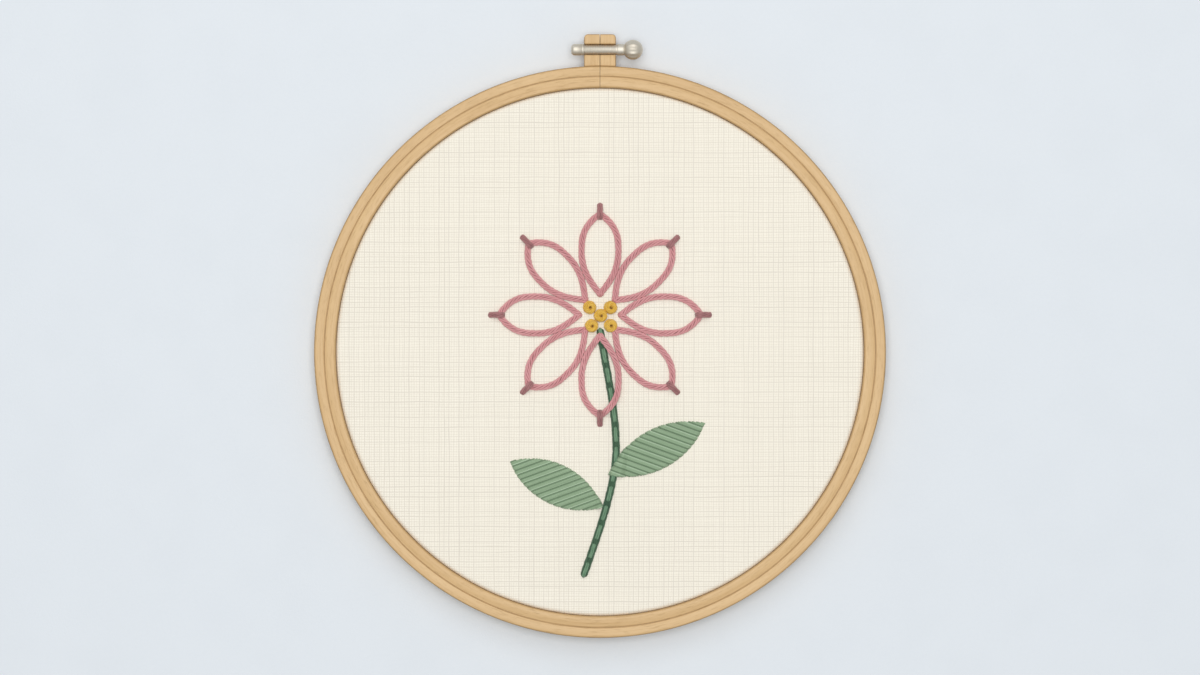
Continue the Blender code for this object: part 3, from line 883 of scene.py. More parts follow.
@dataclass(frozen=True)
class LinenFinish:
    """Cream linen in plain weave, with thicker threads here and there, and painted shade between the
    threads and between pairs of them.
    """

    slot: str = "cream_linen"
    thread: Colour = rgb(0.965, 0.905, 0.785)
    # gap: painted shade between the threads.
    gap: Colour = rgb(0.850, 0.785, 0.660)
    # The thicker threads' tone, which also paints the shade lines between pairs of threads.
    slub: Colour = rgb(0.758, 0.698, 0.603)
    patch: Colour = rgb(0.880, 0.815, 0.690)
    thread_pitch: float = 0.72
    aged: float = 0.10
    relief: float = 0.00007

    def made(self, effects: SharedEffects) -> bpy.types.Material:
        """Makes the material.

        Args:
            effects: The shared shader groups.

        Returns:
            The material.
        """
        dressing = Dressing(self.slot)
        place = dressing.place_in_mm()
        in_threads = dressing.place_in_mm(1.0 / MM / self.thread_pitch)
        weave = dressing.use(
            effects.plain_weave,
            Place=in_threads,
            Thread=self.thread,
            Gap=self.gap,
            Slub=self.slub,
        )
        aged = dressing.use(
            effects.mottle,
            Colour=weave["Colour"],
            Patch=self.patch,
            Amount=self.aged,
            Place=place,
        )
        dressing.coat("Sheen", 0.15, 0.6)
        return dressing.finish(aged["Colour"], weave["Roughness"], weave["Height"], self.relief)


@dataclass(frozen=True)
class FlossFinish:
    """Stranded cotton floss of one colour, with a slight sheen and painted shade in its creases."""

    name: str
    slot: str
    light: Colour
    middle: Colour
    # deep: the painted shade of the creases, which also tints the dye patches.
    deep: Colour
    dye_patches: float = 0.10
    relief: float = 0.00009

    def made(self, effects: SharedEffects) -> bpy.types.Material:
        """Makes the material, which reads the fields winding, tone and crease.

        Args:
            effects: The shared shader groups.

        Returns:
            The material.
        """
        dressing = Dressing(self.name)
        plies = dressing.use(
            effects.floss_plies,
            Winding=dressing.field("winding"),
            Tone=dressing.field("tone", "Fac"),
            Crease=dressing.field("crease", "Fac"),
            Light=self.light,
            Middle=self.middle,
            Deep=self.deep,
        )
        dyed = dressing.use(
            effects.mottle,
            Colour=plies["Colour"],
            Patch=self.deep,
            Amount=self.dye_patches,
            Place=dressing.place_in_mm(),
        )
        dressing.coat("Sheen", 0.25, 0.45)
        return dressing.finish(dyed["Colour"], plies["Roughness"], plies["Height"], self.relief)


# Each floss's deep colour is its painted shade, and also its dye patches.
PINK = FlossFinish(
    "pink_thread",
    "pink_thread",
    rgb(0.748, 0.352, 0.360),
    rgb(0.668, 0.290, 0.298),
    rgb(0.420, 0.154, 0.161),
)
DARK_PINK = FlossFinish(
    "dark_pink_thread",
    "dark_pink_thread",
    rgb(0.450, 0.200, 0.200),
    rgb(0.390, 0.165, 0.168),
    rgb(0.215, 0.080, 0.084),
)
GOLD = FlossFinish(
    "gold_thread",
    "gold_thread",
    rgb(0.900, 0.580, 0.098),
    rgb(0.788, 0.458, 0.042),
    rgb(0.430, 0.200, 0.004),
)
DARK_GREEN = FlossFinish(
    "dark_green_thread",
    "dark_green_thread",
    rgb(0.056, 0.135, 0.068),
    rgb(0.038, 0.102, 0.050),
    rgb(0.012, 0.038, 0.017),
)
MOSS = FlossFinish(
    "moss_thread",
    "sage_thread",
    rgb(0.190, 0.345, 0.205),
    rgb(0.155, 0.290, 0.170),
    rgb(0.060, 0.140, 0.072),
)
# The sage light colour is mostly the painted highlight of the leaves' edge strands.
SAGE = FlossFinish(
    "sage_thread",
    "sage_thread",
    rgb(0.445, 0.590, 0.398),
    rgb(0.282, 0.402, 0.243),
    rgb(0.088, 0.162, 0.078),
)


@dataclass(frozen=True)
class GroundFinish:
    """The pale blue-grey ground that the hoop lies on."""

    pale: Colour = rgb(0.762, 0.800, 0.842)
    patch: Colour = rgb(0.735, 0.773, 0.815)
    patchy: float = 0.4
    relief: float = 0.00003

    def made(self, effects: SharedEffects) -> bpy.types.Material:
        """Makes the material.

        Args:
            effects: The shared shader groups.

        Returns:
            The material.
        """
        dressing = Dressing("pale_ground")
        place = dressing.place_in_mm()
        paper = dressing.use(
            effects.mottle,
            Colour=self.pale,
            Patch=self.patch,
            Amount=self.patchy,
            Place=place,
        )
        tooth = dressing.desk.noise(place, 1.6, 4.0)
        roughness = dressing.desk.ramp(tooth, 0.2, 0.8, 0.85, 0.95)
        return dressing.finish(paper["Colour"], roughness, tooth, self.relief)


# ---------------------------------------------------------------- pieces


def settle(
    obj: bpy.types.Object, body: Body, material: bpy.types.Material, slot: str, *nodes: str
) -> bpy.types.Object:
    """Finishes a piece: gives it its material and body, and hides the solids it stands for.

    Args:
        obj: The piece.
        body: The body it rides on.
        material: Its material.
        slot: Not used.
        nodes: The solids that it stands for.

    Returns:
        The piece.
    """
    obj.data.materials.append(material)
    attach(obj, body.value)
    if nodes:
        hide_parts(*nodes)
    LOG.info("%s: %d faces, on %s", obj.name, len(obj.data.polygons), body.value)
    return obj


@dataclass
class BentRing:
    """A ring of bent wood, open at the clamp's side, with rounded edges.

    Attributes:
        name: The piece's name.
        node: The solid that it stands for.
        bore: Its inner radius.
        radius: Its outer radius.
        height: Its height from the back.
        edge: The radius of its front edges.
        back_edge: The radius of its back edges.
        split: The width of its opening.
        line: The radius of the glue line between its two plies, or 0 without one.
        toast_and_shade_reach: How far the edges' darker tone, partly painted shade, reaches onto the
            faces.
        back_tone: The edge mask of the edges that are darkened less.
    """

    name: str
    node: str
    bore: float
    radius: float
    height: float
    edge: float = 0.6
    back_edge: float = 0.4
    split: float = 0.12
    line: float = 0.0
    line_width: float = 0.34
    line_depth: float = 0.22
    toast_and_shade_reach: float = 0.7
    back_tone: float = 0.6
    steps: int = 288
    arc_steps: int = 7

    def section(self) -> Outline:
        """The ring's section.

        Returns:
            Points of radius and height, and a mask of those on an edge.
        """
        back, front, top, tone = self.back_edge, self.edge, self.height, self.back_tone
        plain_from, plain_to = back + self.toast_and_shade_reach / 2, top - front - self.toast_and_shade_reach
        parts = [
            straight((self.bore, plain_to), (self.bore, plain_from)),
            quarter_round((self.bore + back, back), back, 180.0, 3, tone),
            quarter_round((self.radius - back, back), back, 270.0, 3, tone),
            straight((self.radius, plain_from), (self.radius, plain_to)),
            quarter_round((self.radius - front, top - front), front, 0.0, self.arc_steps),
        ]
        if self.line:
            parts.append(self.groove())
        parts.append(
            quarter_round((self.bore + front, top - front), front, 90.0, self.arc_steps, tone)
        )
        return one_outline(parts)

    def groove(self) -> Outline:
        """The glue line's fine groove in the front face, darker towards its bottom: the glue's own
        dark line, and painted shade in the groove.

        Returns:
            The groove's points, and the edge mask there.
        """
        across = np.array((1.5, 1.0, 0.4, -0.4, -1.0, -1.5)) * self.line_width / 2
        down = np.array((0.0, 0.15, 1.0, 1.0, 0.15, 0.0)) * self.line_depth
        points = np.stack((self.line + across, self.height - down), axis=1)
        # The mask darkens the groove's bottom most: the glue's dark line, and painted shade in the
        # groove.
        return points, np.array((0.0, 0.45, 0.8, 0.8, 0.45, 0.0))

    def built(self) -> bpy.types.Object:
        """Sweeps the section round the hoop, with a flat end at each side of the opening.

        Returns:
            The ring as an object.
        """
        section, mask = self.section()
        half_split = math.asin(self.split / 2 / self.radius)
        turns = np.linspace(half_split, math.tau - half_split, self.steps + 1)
        angles = turns + math.pi / 2
        radii = np.broadcast_to(section[:, 0], (len(angles), len(section)))
        heights = np.broadcast_to(section[:, 1], radii.shape)
        points = np.stack(
            (radii * np.cos(angles)[:, None], radii * np.sin(angles)[:, None], heights), axis=-1
        )
        grain = np.stack((radii * turns[:, None], radii, heights), axis=-1)
        faces = tube_faces(len(angles), len(section))
        fields = {"grain": grain.reshape(-1, 3), "edge": np.tile(mask, len(angles))}
        return Shape(points.reshape(-1, 3), faces, fields).as_object(self.name, sharp_from=50.0)


@dataclass
class LugBlock:
    """A wooden block glued to one end of the outer ring, with an open slot for the screw.

    Attributes:
        side: Which side of the opening it is on.
        inner_x: Where it starts from the opening's middle.
        outer_x: Where it ends.
        foot_radius: The radius of its foot, from the hoop's middle.
        top_y: How far out it reaches.
        back: The height of its back.
        front: The height of its front.
        corner: The radius of its upper outer corner.
        ease: The radius of its edges.
        most_inset: The most that its edges draw it in at its outer end.
        plain: How far from an edge its darker tone, partly painted shade, ends.
        slot_tone: The edge mask of the slot's edges, partly painted shade in the slot.
        grain_from: Where the wood's grain is read from, so that each lug has its own.
    """

    side: Side
    inner_x: float = 0.06
    outer_x: float = 4.6
    foot_radius: float = 82.45
    top_y: float = 91.7
    back: float = 0.5
    front: float = 8.5
    corner: float = 1.1
    ease: float = 0.35
    most_inset: float = 0.30
    split_ease: float = 0.05
    plain: float = 0.7
    slot_half_width: float = 1.56
    slot_tone: float = 0.35
    slot_steps: int = 16
    grain_from: tuple[float, float] = (900.0, 40.0)

    def outline(self, x: float, inset: float) -> Outline:
        """The block's outline in Y and Z at one X.

        Args:
            x: The distance from the opening's middle.
            inset: How far the outline is drawn in there, where the side faces' edges are eased.

        Returns:
            The outline's points, and a mask of those on an eased edge.
        """
        past_corner = max(x - (self.outer_x - self.corner), 0.0)
        drop = self.corner - math.sqrt(max(self.corner**2 - past_corner**2, 0.0))
        top = self.top_y - drop
        foot = math.sqrt(self.foot_radius**2 - x**2)
        ease, radius = self.ease, self.ease - inset
        slot = self.slot_half_width
        low, high = self.back + ease, self.front - ease
        near, far = CLAMP_Y - slot - ease, CLAMP_Y + slot + ease
        side_top = top - inset
        slot_arc = arc((CLAMP_Y, CLAMP_Z), slot + inset, 0.0, -180.0, self.slot_steps)
        return one_outline((
            quarter_round((foot + ease, low), radius, 180.0, 3),
            quarter_round((top - ease, low), radius, 270.0, 3),
            straight((side_top, low + self.plain), (side_top, high - self.plain)),
            quarter_round((top - ease, high), radius, 0.0, 4),
            quarter_round((far, high), radius, 90.0, 3, self.slot_tone),
            straight(*slot_arc),
            quarter_round((near, high), radius, 0.0, 3, self.slot_tone),
            quarter_round((foot + ease, high), radius, 90.0, 3),
        ))

    def insets(self, xs: np.ndarray) -> Outline:
        """How far the outline is drawn in along the block.

        Args:
            xs: Distances from the opening's middle.

        Returns:
            The inset at each, and the edge mask there.
        """
        at_split = np.clip(self.inner_x + self.split_ease - xs, 0.0, self.split_ease)
        at_side = np.clip(xs - (self.outer_x - self.ease), 0.0, self.ease)
        drawn_in = self.split_ease - np.sqrt(self.split_ease**2 - at_split**2)
        drawn_in += self.ease - np.sqrt(self.ease**2 - at_side**2)
        share = np.maximum(at_split / self.split_ease, at_side / self.ease)
        # The side edge mask, strongest in the middle of each eased edge, darkens the wood: partly
        # painted shade.
        return np.minimum(drawn_in, self.most_inset), np.sin(share**1.5 * math.pi) ** 0.7

    def built(self) -> bpy.types.Object:
        """Lofts the block from the opening outwards.

        Returns:
            The block as an object.
        """
        side = self.side.value
        eased = np.sin(np.linspace(0.0, math.pi / 2, 6))
        at_split = self.inner_x + self.split_ease * (1.0 - eased)
        at_corner = self.outer_x - self.corner * (1.0 - eased)
        at_side = self.outer_x - self.ease * (1.0 - eased)
        xs = np.unique(np.concatenate((at_split, at_corner, at_side)).round(4))
        drawn_in, side_edge = self.insets(xs)
        slices = [self.outline(x, inset) for x, inset in zip(xs, drawn_in)]
        points = np.array([[(side * x, y, z) for y, z in run] for x, (run, _) in zip(xs, slices)])
        edge = np.array([np.maximum(mask, share) for share, (_, mask) in zip(side_edge, slices)])
        aside, up = self.grain_from
        grain = points[..., [1, 0, 2]] + np.array((aside * side, 0.0, up))
        fields = {"grain": grain.reshape(-1, 3), "edge": edge.reshape(-1)}
        faces = tube_faces(len(xs), len(slices[0][0]))
        name = f"lug_block_{self.side.name.lower()}"
        return Shape(points.reshape(-1, 3), faces, fields).as_object(name, sharp_from=50.0)


@dataclass
class Hoop:
    """The two bent rings and the two lugs."""

    finish: WoodFinish = WoodFinish()
    outer: BentRing = field(
        default_factory=lambda: BentRing(
            "bent_outer_ring", "outer_ring", bore=76.25, radius=82.5, height=9.0, line=79.5
        )
    )
    inner: BentRing = field(
        default_factory=lambda: BentRing(
            "bent_inner_ring",
            "inner_ring",
            bore=70.65,
            radius=75.70,
            height=7.80,
            edge=0.95,
            split=0.04,
        )
    )

    def build(self, effects: SharedEffects) -> bpy.types.Object:
        """Builds all the wood.

        Args:
            effects: The shared shader groups.

        Returns:
            The inner ring, which carries the linen.
        """
        wood = self.finish.made(effects)
        for ring in (self.outer, self.inner):
            piece = settle(ring.built(), Body.HOOP, wood, self.finish.slot, ring.node)
        for side in Side:
            lug = LugBlock(side).built()
            settle(lug, Body.HOOP, wood, self.finish.slot, f"lug_{side.name.lower()}")
        return piece


@dataclass
class Clamp:
    """The clamp screw with its knob, and the cap nut on its other end.

    The axis runs along X. Lengths are from the hoop's middle line.

    Attributes:
        flute_depth: How deep the knob's flutes are at its belt.
        knob_belt: Half the length of the knob's fluted belt.
        shoulder: The radius of the collar's edges.
        nut_round: The radius of the nut's outer end.
        nut_edge: The radius of the nut's edge at the lug.
        nut_line: Where the nut's fine line is, from its base.
        line_half_width: Half that line's width.
        line_depth: Its depth.
        bore_ease: How much wider the nut's bore is than the shank.
        bore_depth: How deep the bore is.
        entered: How far the shank goes into the nut.
        point: The radius at which a turned end closes.
    """

    finish: NickelFinish = NickelFinish()
    shank_radius: float = 1.45
    shank_end: float = 4.9
    thread_pitch: float = 0.5
    thread_depth: float = 0.10
    collar_radius: float = 1.65
    collar_end: float = 6.9
    knob_radius: float = 2.88
    knob_centre: float = 9.5
    knob_flutes: int = 12
    flute_depth: float = 0.15
    knob_belt: float = 1.9
    nut_radius: float = 1.65
    nut_start: float = -4.65
    nut_end: float = -8.35
    nut_round: float = 1.0
    nut_edge: float = 0.15
    nut_line: float = 0.7
    line_half_width: float = 0.1
    line_depth: float = 0.09
    shoulder: float = 0.2
    bore_ease: float = 0.03
    bore_depth: float = 0.6
    entered: float = 0.2
    point: float = 0.02
    around: int = 96

    def turned(
        self, name: str, line: np.ndarray, edge: np.ndarray, threaded: bool = False
    ) -> bpy.types.Object:
        """Turns a line about the clamp's axis.

        Args:
            name: The object's name.
            line: Points of distance along the axis and radius.
            edge: The edge mask at each point.
            threaded: Whether the shank's screw thread and the knob's flutes are cut.

        Returns:
            The object.
        """
        angles = np.linspace(0.0, math.tau, self.around, endpoint=False)
        along = np.repeat(line[:, :1], self.around, axis=1)
        radius = np.repeat(line[:, 1:], self.around, axis=1)
        mask = np.repeat(edge[:, None], self.around, axis=1)
        if threaded:
            radius = radius - self.thread_cut(along, angles) - self.flute_cut(along, angles)
        y, z = CLAMP_Y + radius * np.cos(angles), CLAMP_Z + radius * np.sin(angles)
        points = np.stack((along, y, z), axis=-1).reshape(-1, 3)
        faces = tube_faces(len(line), self.around)
        return Shape(points, faces, {"edge": mask.reshape(-1)}).as_object(name, sharp_from=55.0)

    def thread_cut(self, along: np.ndarray, angles: np.ndarray) -> np.ndarray:
        """The screw thread, which fades out before the collar.

        Args:
            along: Each point's distance along the axis.
            angles: Each point's angle round it.

        Returns:
            How deep the thread is cut there.
        """
        phase = np.mod(along / self.thread_pitch - angles / math.tau, 1.0)
        faded = smooth_share(self.shank_end - 0.3 - along, 0.0, 0.3)
        return self.thread_depth * (1.0 - np.abs(2.0 * phase - 1.0)) * faded

    def flute_cut(self, along: np.ndarray, angles: np.ndarray) -> np.ndarray:
        """The knob's flutes, deepest at its belt.

        Args:
            along: Each point's distance along the axis.
            angles: Each point's angle round it.

        Returns:
            How deep the flutes are pressed there.
        """
        from_belt = np.clip(np.abs(along - self.knob_centre) / self.knob_belt, 0.0, 1.0)
        wave = (1.0 - np.cos(self.knob_flutes * angles)) / 2.0
        return self.flute_depth * wave**0.7 * (1.0 - from_belt**2)

    def screw(self) -> bpy.types.Object:
        """The threaded shank, the collar and the fluted ball knob.

        Returns:
            All three as one object.
        """
        start = self.nut_start - self.entered
        shank_xs = np.arange(start, self.shank_end, self.thread_pitch / 8)
        shank = np.stack((shank_xs, np.full(len(shank_xs), self.shank_radius)), axis=1)
        ease, height = self.shoulder, self.collar_radius - self.shoulder
        collar_start = arc((self.shank_end + ease, height), ease, 180.0, 90.0, 3)
        collar_end = arc((self.collar_end - ease, height), ease, 90.0, 0.0, 3)
        neck = math.degrees(math.asin(self.collar_radius / self.knob_radius)) - 4.0
        ball = arc((self.knob_centre, 0.0), self.knob_radius, 180.0 - neck, 1.0, 40)
        line = np.concatenate((shank, collar_start, collar_end, ball))
        edge = np.zeros(len(line))
        edge[len(shank) : len(shank) + 8] = (0.0, 0.7, 1.0, 0.2, 0.2, 1.0, 0.7, 0.0)
        return self.turned("screw_and_knob", line, edge, threaded=True)

    def nut(self) -> bpy.types.Object:
        """The capped nut: bored for the shank, rounded outside, with a line near its base.

        Returns:
            The nut as an object.
        """
        radius, rim = self.nut_radius, self.nut_edge
        bore, bottom = self.shank_radius + self.bore_ease, self.nut_start - self.bore_depth
        inside = [(bottom, self.point), (bottom, bore), (self.nut_start, bore)]
        base = arc((self.nut_start - rim, radius - rim), rim, 0.0, 90.0, 3)
        middle, half = self.nut_start - self.nut_line, self.line_half_width
        line_bottom = (middle, radius - self.line_depth)
        groove = [(middle + half, radius), line_bottom, (middle - half, radius)]
        dome_centre = (self.nut_end + self.nut_round, radius - self.nut_round)
        dome = arc(dome_centre, self.nut_round, 90.0, 180.0, 10)
        line = np.concatenate((inside, base, groove, dome, [(self.nut_end, self.point)]))
        edge = np.zeros(len(line))
        edge[len(inside) : len(inside) + len(base)] = (0.3, 0.9, 0.9, 0.3)
        return self.turned("round_cap_nut", line, edge)

    def build(self, effects: SharedEffects) -> None:
        """Builds the screw, which turns, and the nut, which stays.

        Args:
            effects: The shared shader groups.
        """
        nickel = self.finish.made(effects)
        settle(self.screw(), Body.CLAMP_SCREW, nickel, self.finish.slot, "thumbscrew")
        settle(self.nut(), Body.HOOP, nickel, self.finish.slot, "cap_nut")


@dataclass
class LinenDrum:
    """The linen: a disc stretched over the inner ring, its edge turned down between the rings.

    Attributes:
        radius: The radius of its turned-down edge.
        thickness: The cloth's thickness.
        shoulder: The radius of its bend over the inner ring.
        edge_height: How high its cut edge is over the surface that the hoop lies on.
        slack: The height of its faint waves.
        around: How many points it has round the hoop.
        rings: How many rings of points its face has.
        skirt_rings: How many rings its turned-down part has.
    """

    finish: LinenFinish = LinenFinish()
    radius: float = 76.2
    thickness: float = LINEN_FACE - LINEN_BACK
    shoulder: float = 1.4
    edge_height: float = 1.2
    slack: float = 0.05
    around: int = 240
    rings: int = 56
    skirt_rings: int = 8

    def section(self) -> np.ndarray:
        """The cloth's section: out over the face, round the edge and back behind it.

        Returns:
            Points of radius and height.
        """
        centre = (self.radius - self.shoulder, LINEN_FACE - self.shoulder)
        inner_radius, steps = self.radius - self.thickness, self.skirt_rings
        out = np.linspace(0.5, centre[0], self.rings)
        face = np.stack((out, np.full(self.rings, LINEN_FACE)), axis=1)
        back = np.stack((out, np.full(self.rings, LINEN_FACE - self.thickness)), axis=1)[::-1]
        drop = np.linspace(centre[1], self.edge_height, steps + 1)[1:]
        skirt = np.stack((np.full(steps, self.radius), drop), axis=1)
        lining = np.stack((np.full(steps, inner_radius), drop), axis=1)[::-1]
        outside = arc(centre, self.shoulder, 90.0, 0.0, 8)[1:]
        inside = arc(centre, self.shoulder - self.thickness, 0.0, 90.0, 8)[:-1]
        return np.concatenate((face, outside, skirt, lining, inside, back))

    def built(self) -> bpy.types.Object:
        """Turns the section about the hoop's middle, with faint waves of tension near the edge.

        Returns:
            The linen as an object.
        """
        section = self.section()
        angles = np.linspace(0.0, math.tau, self.around, endpoint=False)
        radii = np.repeat(section[:, :1], self.around, axis=1)
        heights = np.repeat(section[:, 1:], self.around, axis=1)
        near_edge = smooth_share(radii, 45.0, 72.0) * smooth_share(-radii, -75.0, -73.0)
        waves = np.sin(23.0 * angles + 1.3) + 0.7 * np.sin(37.0 * angles + 0.4 * radii / 9.0)
        sunk = self.slack * near_edge
        heights = heights + sunk * waves * (heights > LINEN_FACE - 1.0) - sunk
        points = np.stack((radii * np.cos(angles), radii * np.sin(angles), heights), axis=-1)
        faces = tube_faces(len(section), self.around)
        return Shape(points.reshape(-1, 3), faces).as_object("stretched_linen", sharp_from=60.0)

    def build(self, effects: SharedEffects) -> bpy.types.Object:
        """Builds the linen.

        Args:
            effects: The shared shader groups.

        Returns:
            The piece.
        """
        linen = self.finish.made(effects)
        return settle(self.built(), Body.HOOP, linen, self.finish.slot, "linen")


# ---------------------------------------------------------------- threads


def strand_tubes(
    centres: np.ndarray,
    up: np.ndarray,
    radius: float,
    sides: int,
    ply_pitch: float,
    tones: np.ndarray,
    phases: np.ndarray,
) -> Shape:
    """Round strands along their centre lines, closed at both ends.

    Args:
        centres: The centre lines, as strand by station by X, Y and Z.
        up: Which way is up at each station, in the same order.
        radius: The strands' radius.
        sides: How many sides a strand has.
        ply_pitch: The length in which a strand's plies go round once.
        tones: Each strand's tone, from 0 to 1.
        phases: Where each strand's plies start, in radians.

    Returns:
        The strands, with the fields winding and tone.
    """
    strands, stations, _ = centres.shape
    tangent = unit(np.gradient(centres, axis=1))
    across = unit(np.cross(tangent, up))
    lifted = np.cross(across, tangent)
    turn = np.linspace(0.0, math.tau, sides, endpoint=False)
    ring = np.cos(turn)[:, None] * across[:, :, None] + np.sin(turn)[:, None] * lifted[:, :, None]
    points = centres[:, :, None] + radius * ring
    steps = np.linalg.norm(np.diff(centres, axis=1), axis=2)
    along = np.concatenate((np.zeros((strands, 1)), np.cumsum(steps, axis=1)), axis=1)[..., None]
    wound = turn + math.tau * along / ply_pitch + phases[:, None, None]
    along = np.broadcast_to(along + 7.0 * phases[:, None, None], wound.shape)
    winding = np.stack((along, np.cos(wound), np.sin(wound)), axis=-1)
    tone = np.broadcast_to(tones[:, None, None], wound.shape)
    one = tube_faces(stations, sides)
    firsts = range(0, strands * stations * sides, stations * sides)
    faces = [tuple(corner + first for corner in face) for first in firsts for face in one]
    fields = {"winding": winding.reshape(-1, 3), "tone": tone.reshape(-1)}
    return Shape(points.reshape(-1, 3), faces, fields)


@dataclass(frozen=True)
class Floss:
    """A needleful of floss: strands laid together with a slight twist.

    Attributes:
        width: The bundle's width on the cloth.
        height: Its height.
        strands: How many strands it has.
        strand_radius: The radius of one strand.
        twist_pitch: The length in which the bundle turns round once.
        ply_pitch: The length in which a strand's plies turn round once.
        sides: How many sides a strand has.
        wander: How far a strand strays from its place.
        neck: How wide the floss is in its hole, as a share of its width.
    """

    width: float
    height: float
    strands: int = 6
    strand_radius: float = 0.31
    twist_pitch: float = 9.0
    ply_pitch: float = 1.5
    sides: int = 8
    wander: float = 0.035
    neck: tuple[float, float] = (0.12, 0.88)

    def laid(self, route: np.ndarray, seed: int, pinched: float = 0.0) -> Shape:
        """Lays the floss along a route.

        Args:
            route: The bundle's middle line, its points about evenly spaced.
            seed: Settles how the strands wander and take the dye.
            pinched: The length at each end over which the floss narrows into its hole.

        Returns:
            The strands, with the fields winding, tone and crease.
        """
        chance = np.random.default_rng(seed)
        along = travelled(route)
        tangent = unit(np.gradient(route, axis=0))
        across = unit(np.stack((tangent[:, 1], -tangent[:, 0], np.zeros(len(route))), axis=1))
        up = np.cross(across, tangent)
        starts = math.tau * np.arange(self.strands) / self.strands + chance.uniform(0.0, math.tau)
        turn = starts[:, None] + math.tau * along / self.twist_pitch
        loose = chance.uniform(0.0, math.tau, (2, self.strands, 1))
        sideways = (self.width / 2 - self.strand_radius) * np.cos(turn)
        sideways += self.wander * np.sin(along * 1.7 + loose[0])
        upwards = (self.height / 2 - self.strand_radius) * np.sin(turn)
        upwards += self.wander * np.sin(along * 2.3 + loose[1])
        if pinched:
            least, rest = self.neck
            sideways *= least + rest * smooth_share(from_ends(along), 0.0, pinched)
        centres = route + sideways[..., None] * across + upwards[..., None] * up
        tones = chance.uniform(0.0, 1.0, self.strands)
        phases = chance.uniform(0.0, math.tau, self.strands)
        ups = np.broadcast_to(up, centres.shape)
        shape = strand_tubes(
            centres, ups, self.strand_radius, self.sides, self.ply_pitch, tones, phases
        )
        # Painted shade: the strands' faces towards the bundle's middle, where they press together,
        # darken by the crease field.
        station = shape.points.reshape(self.strands, len(route), self.sides, 3) - route[:, None]
        outward = np.hypot(
            (station * across[:, None]).sum(-1) / (self.width / 2),
            (station * up[:, None]).sum(-1) / (self.height / 2),
        )
        shape.fields["crease"] = 1.0 - smooth_share(outward.reshape(-1), 0.62, 1.0)
        return shape


def carried_behind(
    name: str, floss: Floss, lengths: Sequence[Sequence[np.ndarray]]
) -> bpy.types.Object:
    """Makes the floss that is carried behind the linen from one hole to the next.

    Args:
        name: The object's name.
        floss: The floss.
        lengths: For each length, the places in plan where it goes down and comes up.

    Returns:
        All the lengths as one object.
    """
    step, dive, first_seed = 0.3, 0.9, 100
    shapes = []
    for i, ends in enumerate(lengths):
        plan = evenly(np.array(ends), step)
        into_linen = 1.0 - smooth_share(from_ends(travelled(plan)), 0.0, dive)
        heights = LINEN_BACK + floss.height * (0.3 * into_linen - 0.5)
        shapes.append(floss.laid(np.column_stack((plan, heights)), first_seed + i, pinched=1.0))
    return Shape.joined(shapes).as_object(name)


@dataclass
class StemLine:
    """The stem's middle line from the flower down, drawn past both ends to its rounded tips.

    Attributes:
        upper: The control points of its upper curve.
        lower: The control points of its lower curve.
        tip_overrun: How far it goes on at each end.
        lift: How far a thread is raised where it crosses the stem.
        lift_full_within: How near to the line a thread is raised fully.
        lift_none_beyond: How far from it a thread isn't raised.
        points: The line's points, from the flower down.
        length: The line's length.
    """

    upper: tuple[tuple[float, float], ...] = (
        (0.1, 5.95),
        (1.65, -4.8),
        (4.55, -16.0),
        (4.65, -27.0),
    )
    lower: tuple[tuple[float, float], ...] = (
        (4.65, -27.0),
        (4.75, -38.0),
        (-0.05, -51.1),
        (-4.6, -64.1),
    )
    tip_overrun: float = 0.85
    lift: float = 1.05
    lift_full_within: float = 1.7
    lift_none_beyond: float = 3.6
    points: np.ndarray = field(init=False)
    length: float = field(init=False)

    def __post_init__(self) -> None:
        """Works out the line's points and its length."""
        line = np.concatenate((self.curve(self.upper)[:-1], self.curve(self.lower)))
        first = line[0] + unit(line[0] - line[1]) * self.tip_overrun
        last = line[-1] + unit(line[-1] - line[-2]) * self.tip_overrun
        self.points = evenly(np.concatenate(([first], line, [last])), 0.25)
        self.length = travelled(self.points)[-1]

    @staticmethod
    def curve(controls: Sequence[tuple[float, float]]) -> np.ndarray:
        """Follows a cubic curve.

        Args:
            controls: Its four control points.

        Returns:
            Points along it.
        """
        t = np.linspace(0.0, 1.0, 80)[:, None]
        weights = ((1 - t) ** 3, 3 * (1 - t) ** 2 * t, 3 * (1 - t) * t**2, t**3)
        return sum(weight * np.array(control) for weight, control in zip(weights, controls))

    def stretch(self, start: float, end: float, offsets: np.ndarray) -> np.ndarray:
        """A plan beside part of the line.

        Args:
            start: Where it starts, as a distance from the upper end.
            end: Where it ends.
            offsets: How far to the right of the line each of its evenly spaced points is.

        Returns:
            The plan's points.
        """
        places = np.linspace(start, end, len(offsets))
        plan = along_route(self.points, places)
        ahead = along_route(self.points, np.minimum(places + 0.2, self.length))
        behind = along_route(self.points, np.maximum(places - 0.2, 0.0))
        along = unit(ahead - behind)
        return plan + np.stack((along[:, 1], -along[:, 0]), axis=1) * offsets[:, None]

    def lift_at(self, plan: np.ndarray) -> np.ndarray:
        """How far a thread is raised at each point of its plan, to pass over the stem."""
        apart = np.linalg.norm(plan[:, None] - self.points[None, ::3], axis=2).min(axis=1)
        return self.lift * (1.0 - smooth_share(apart, self.lift_full_within, self.lift_none_beyond))


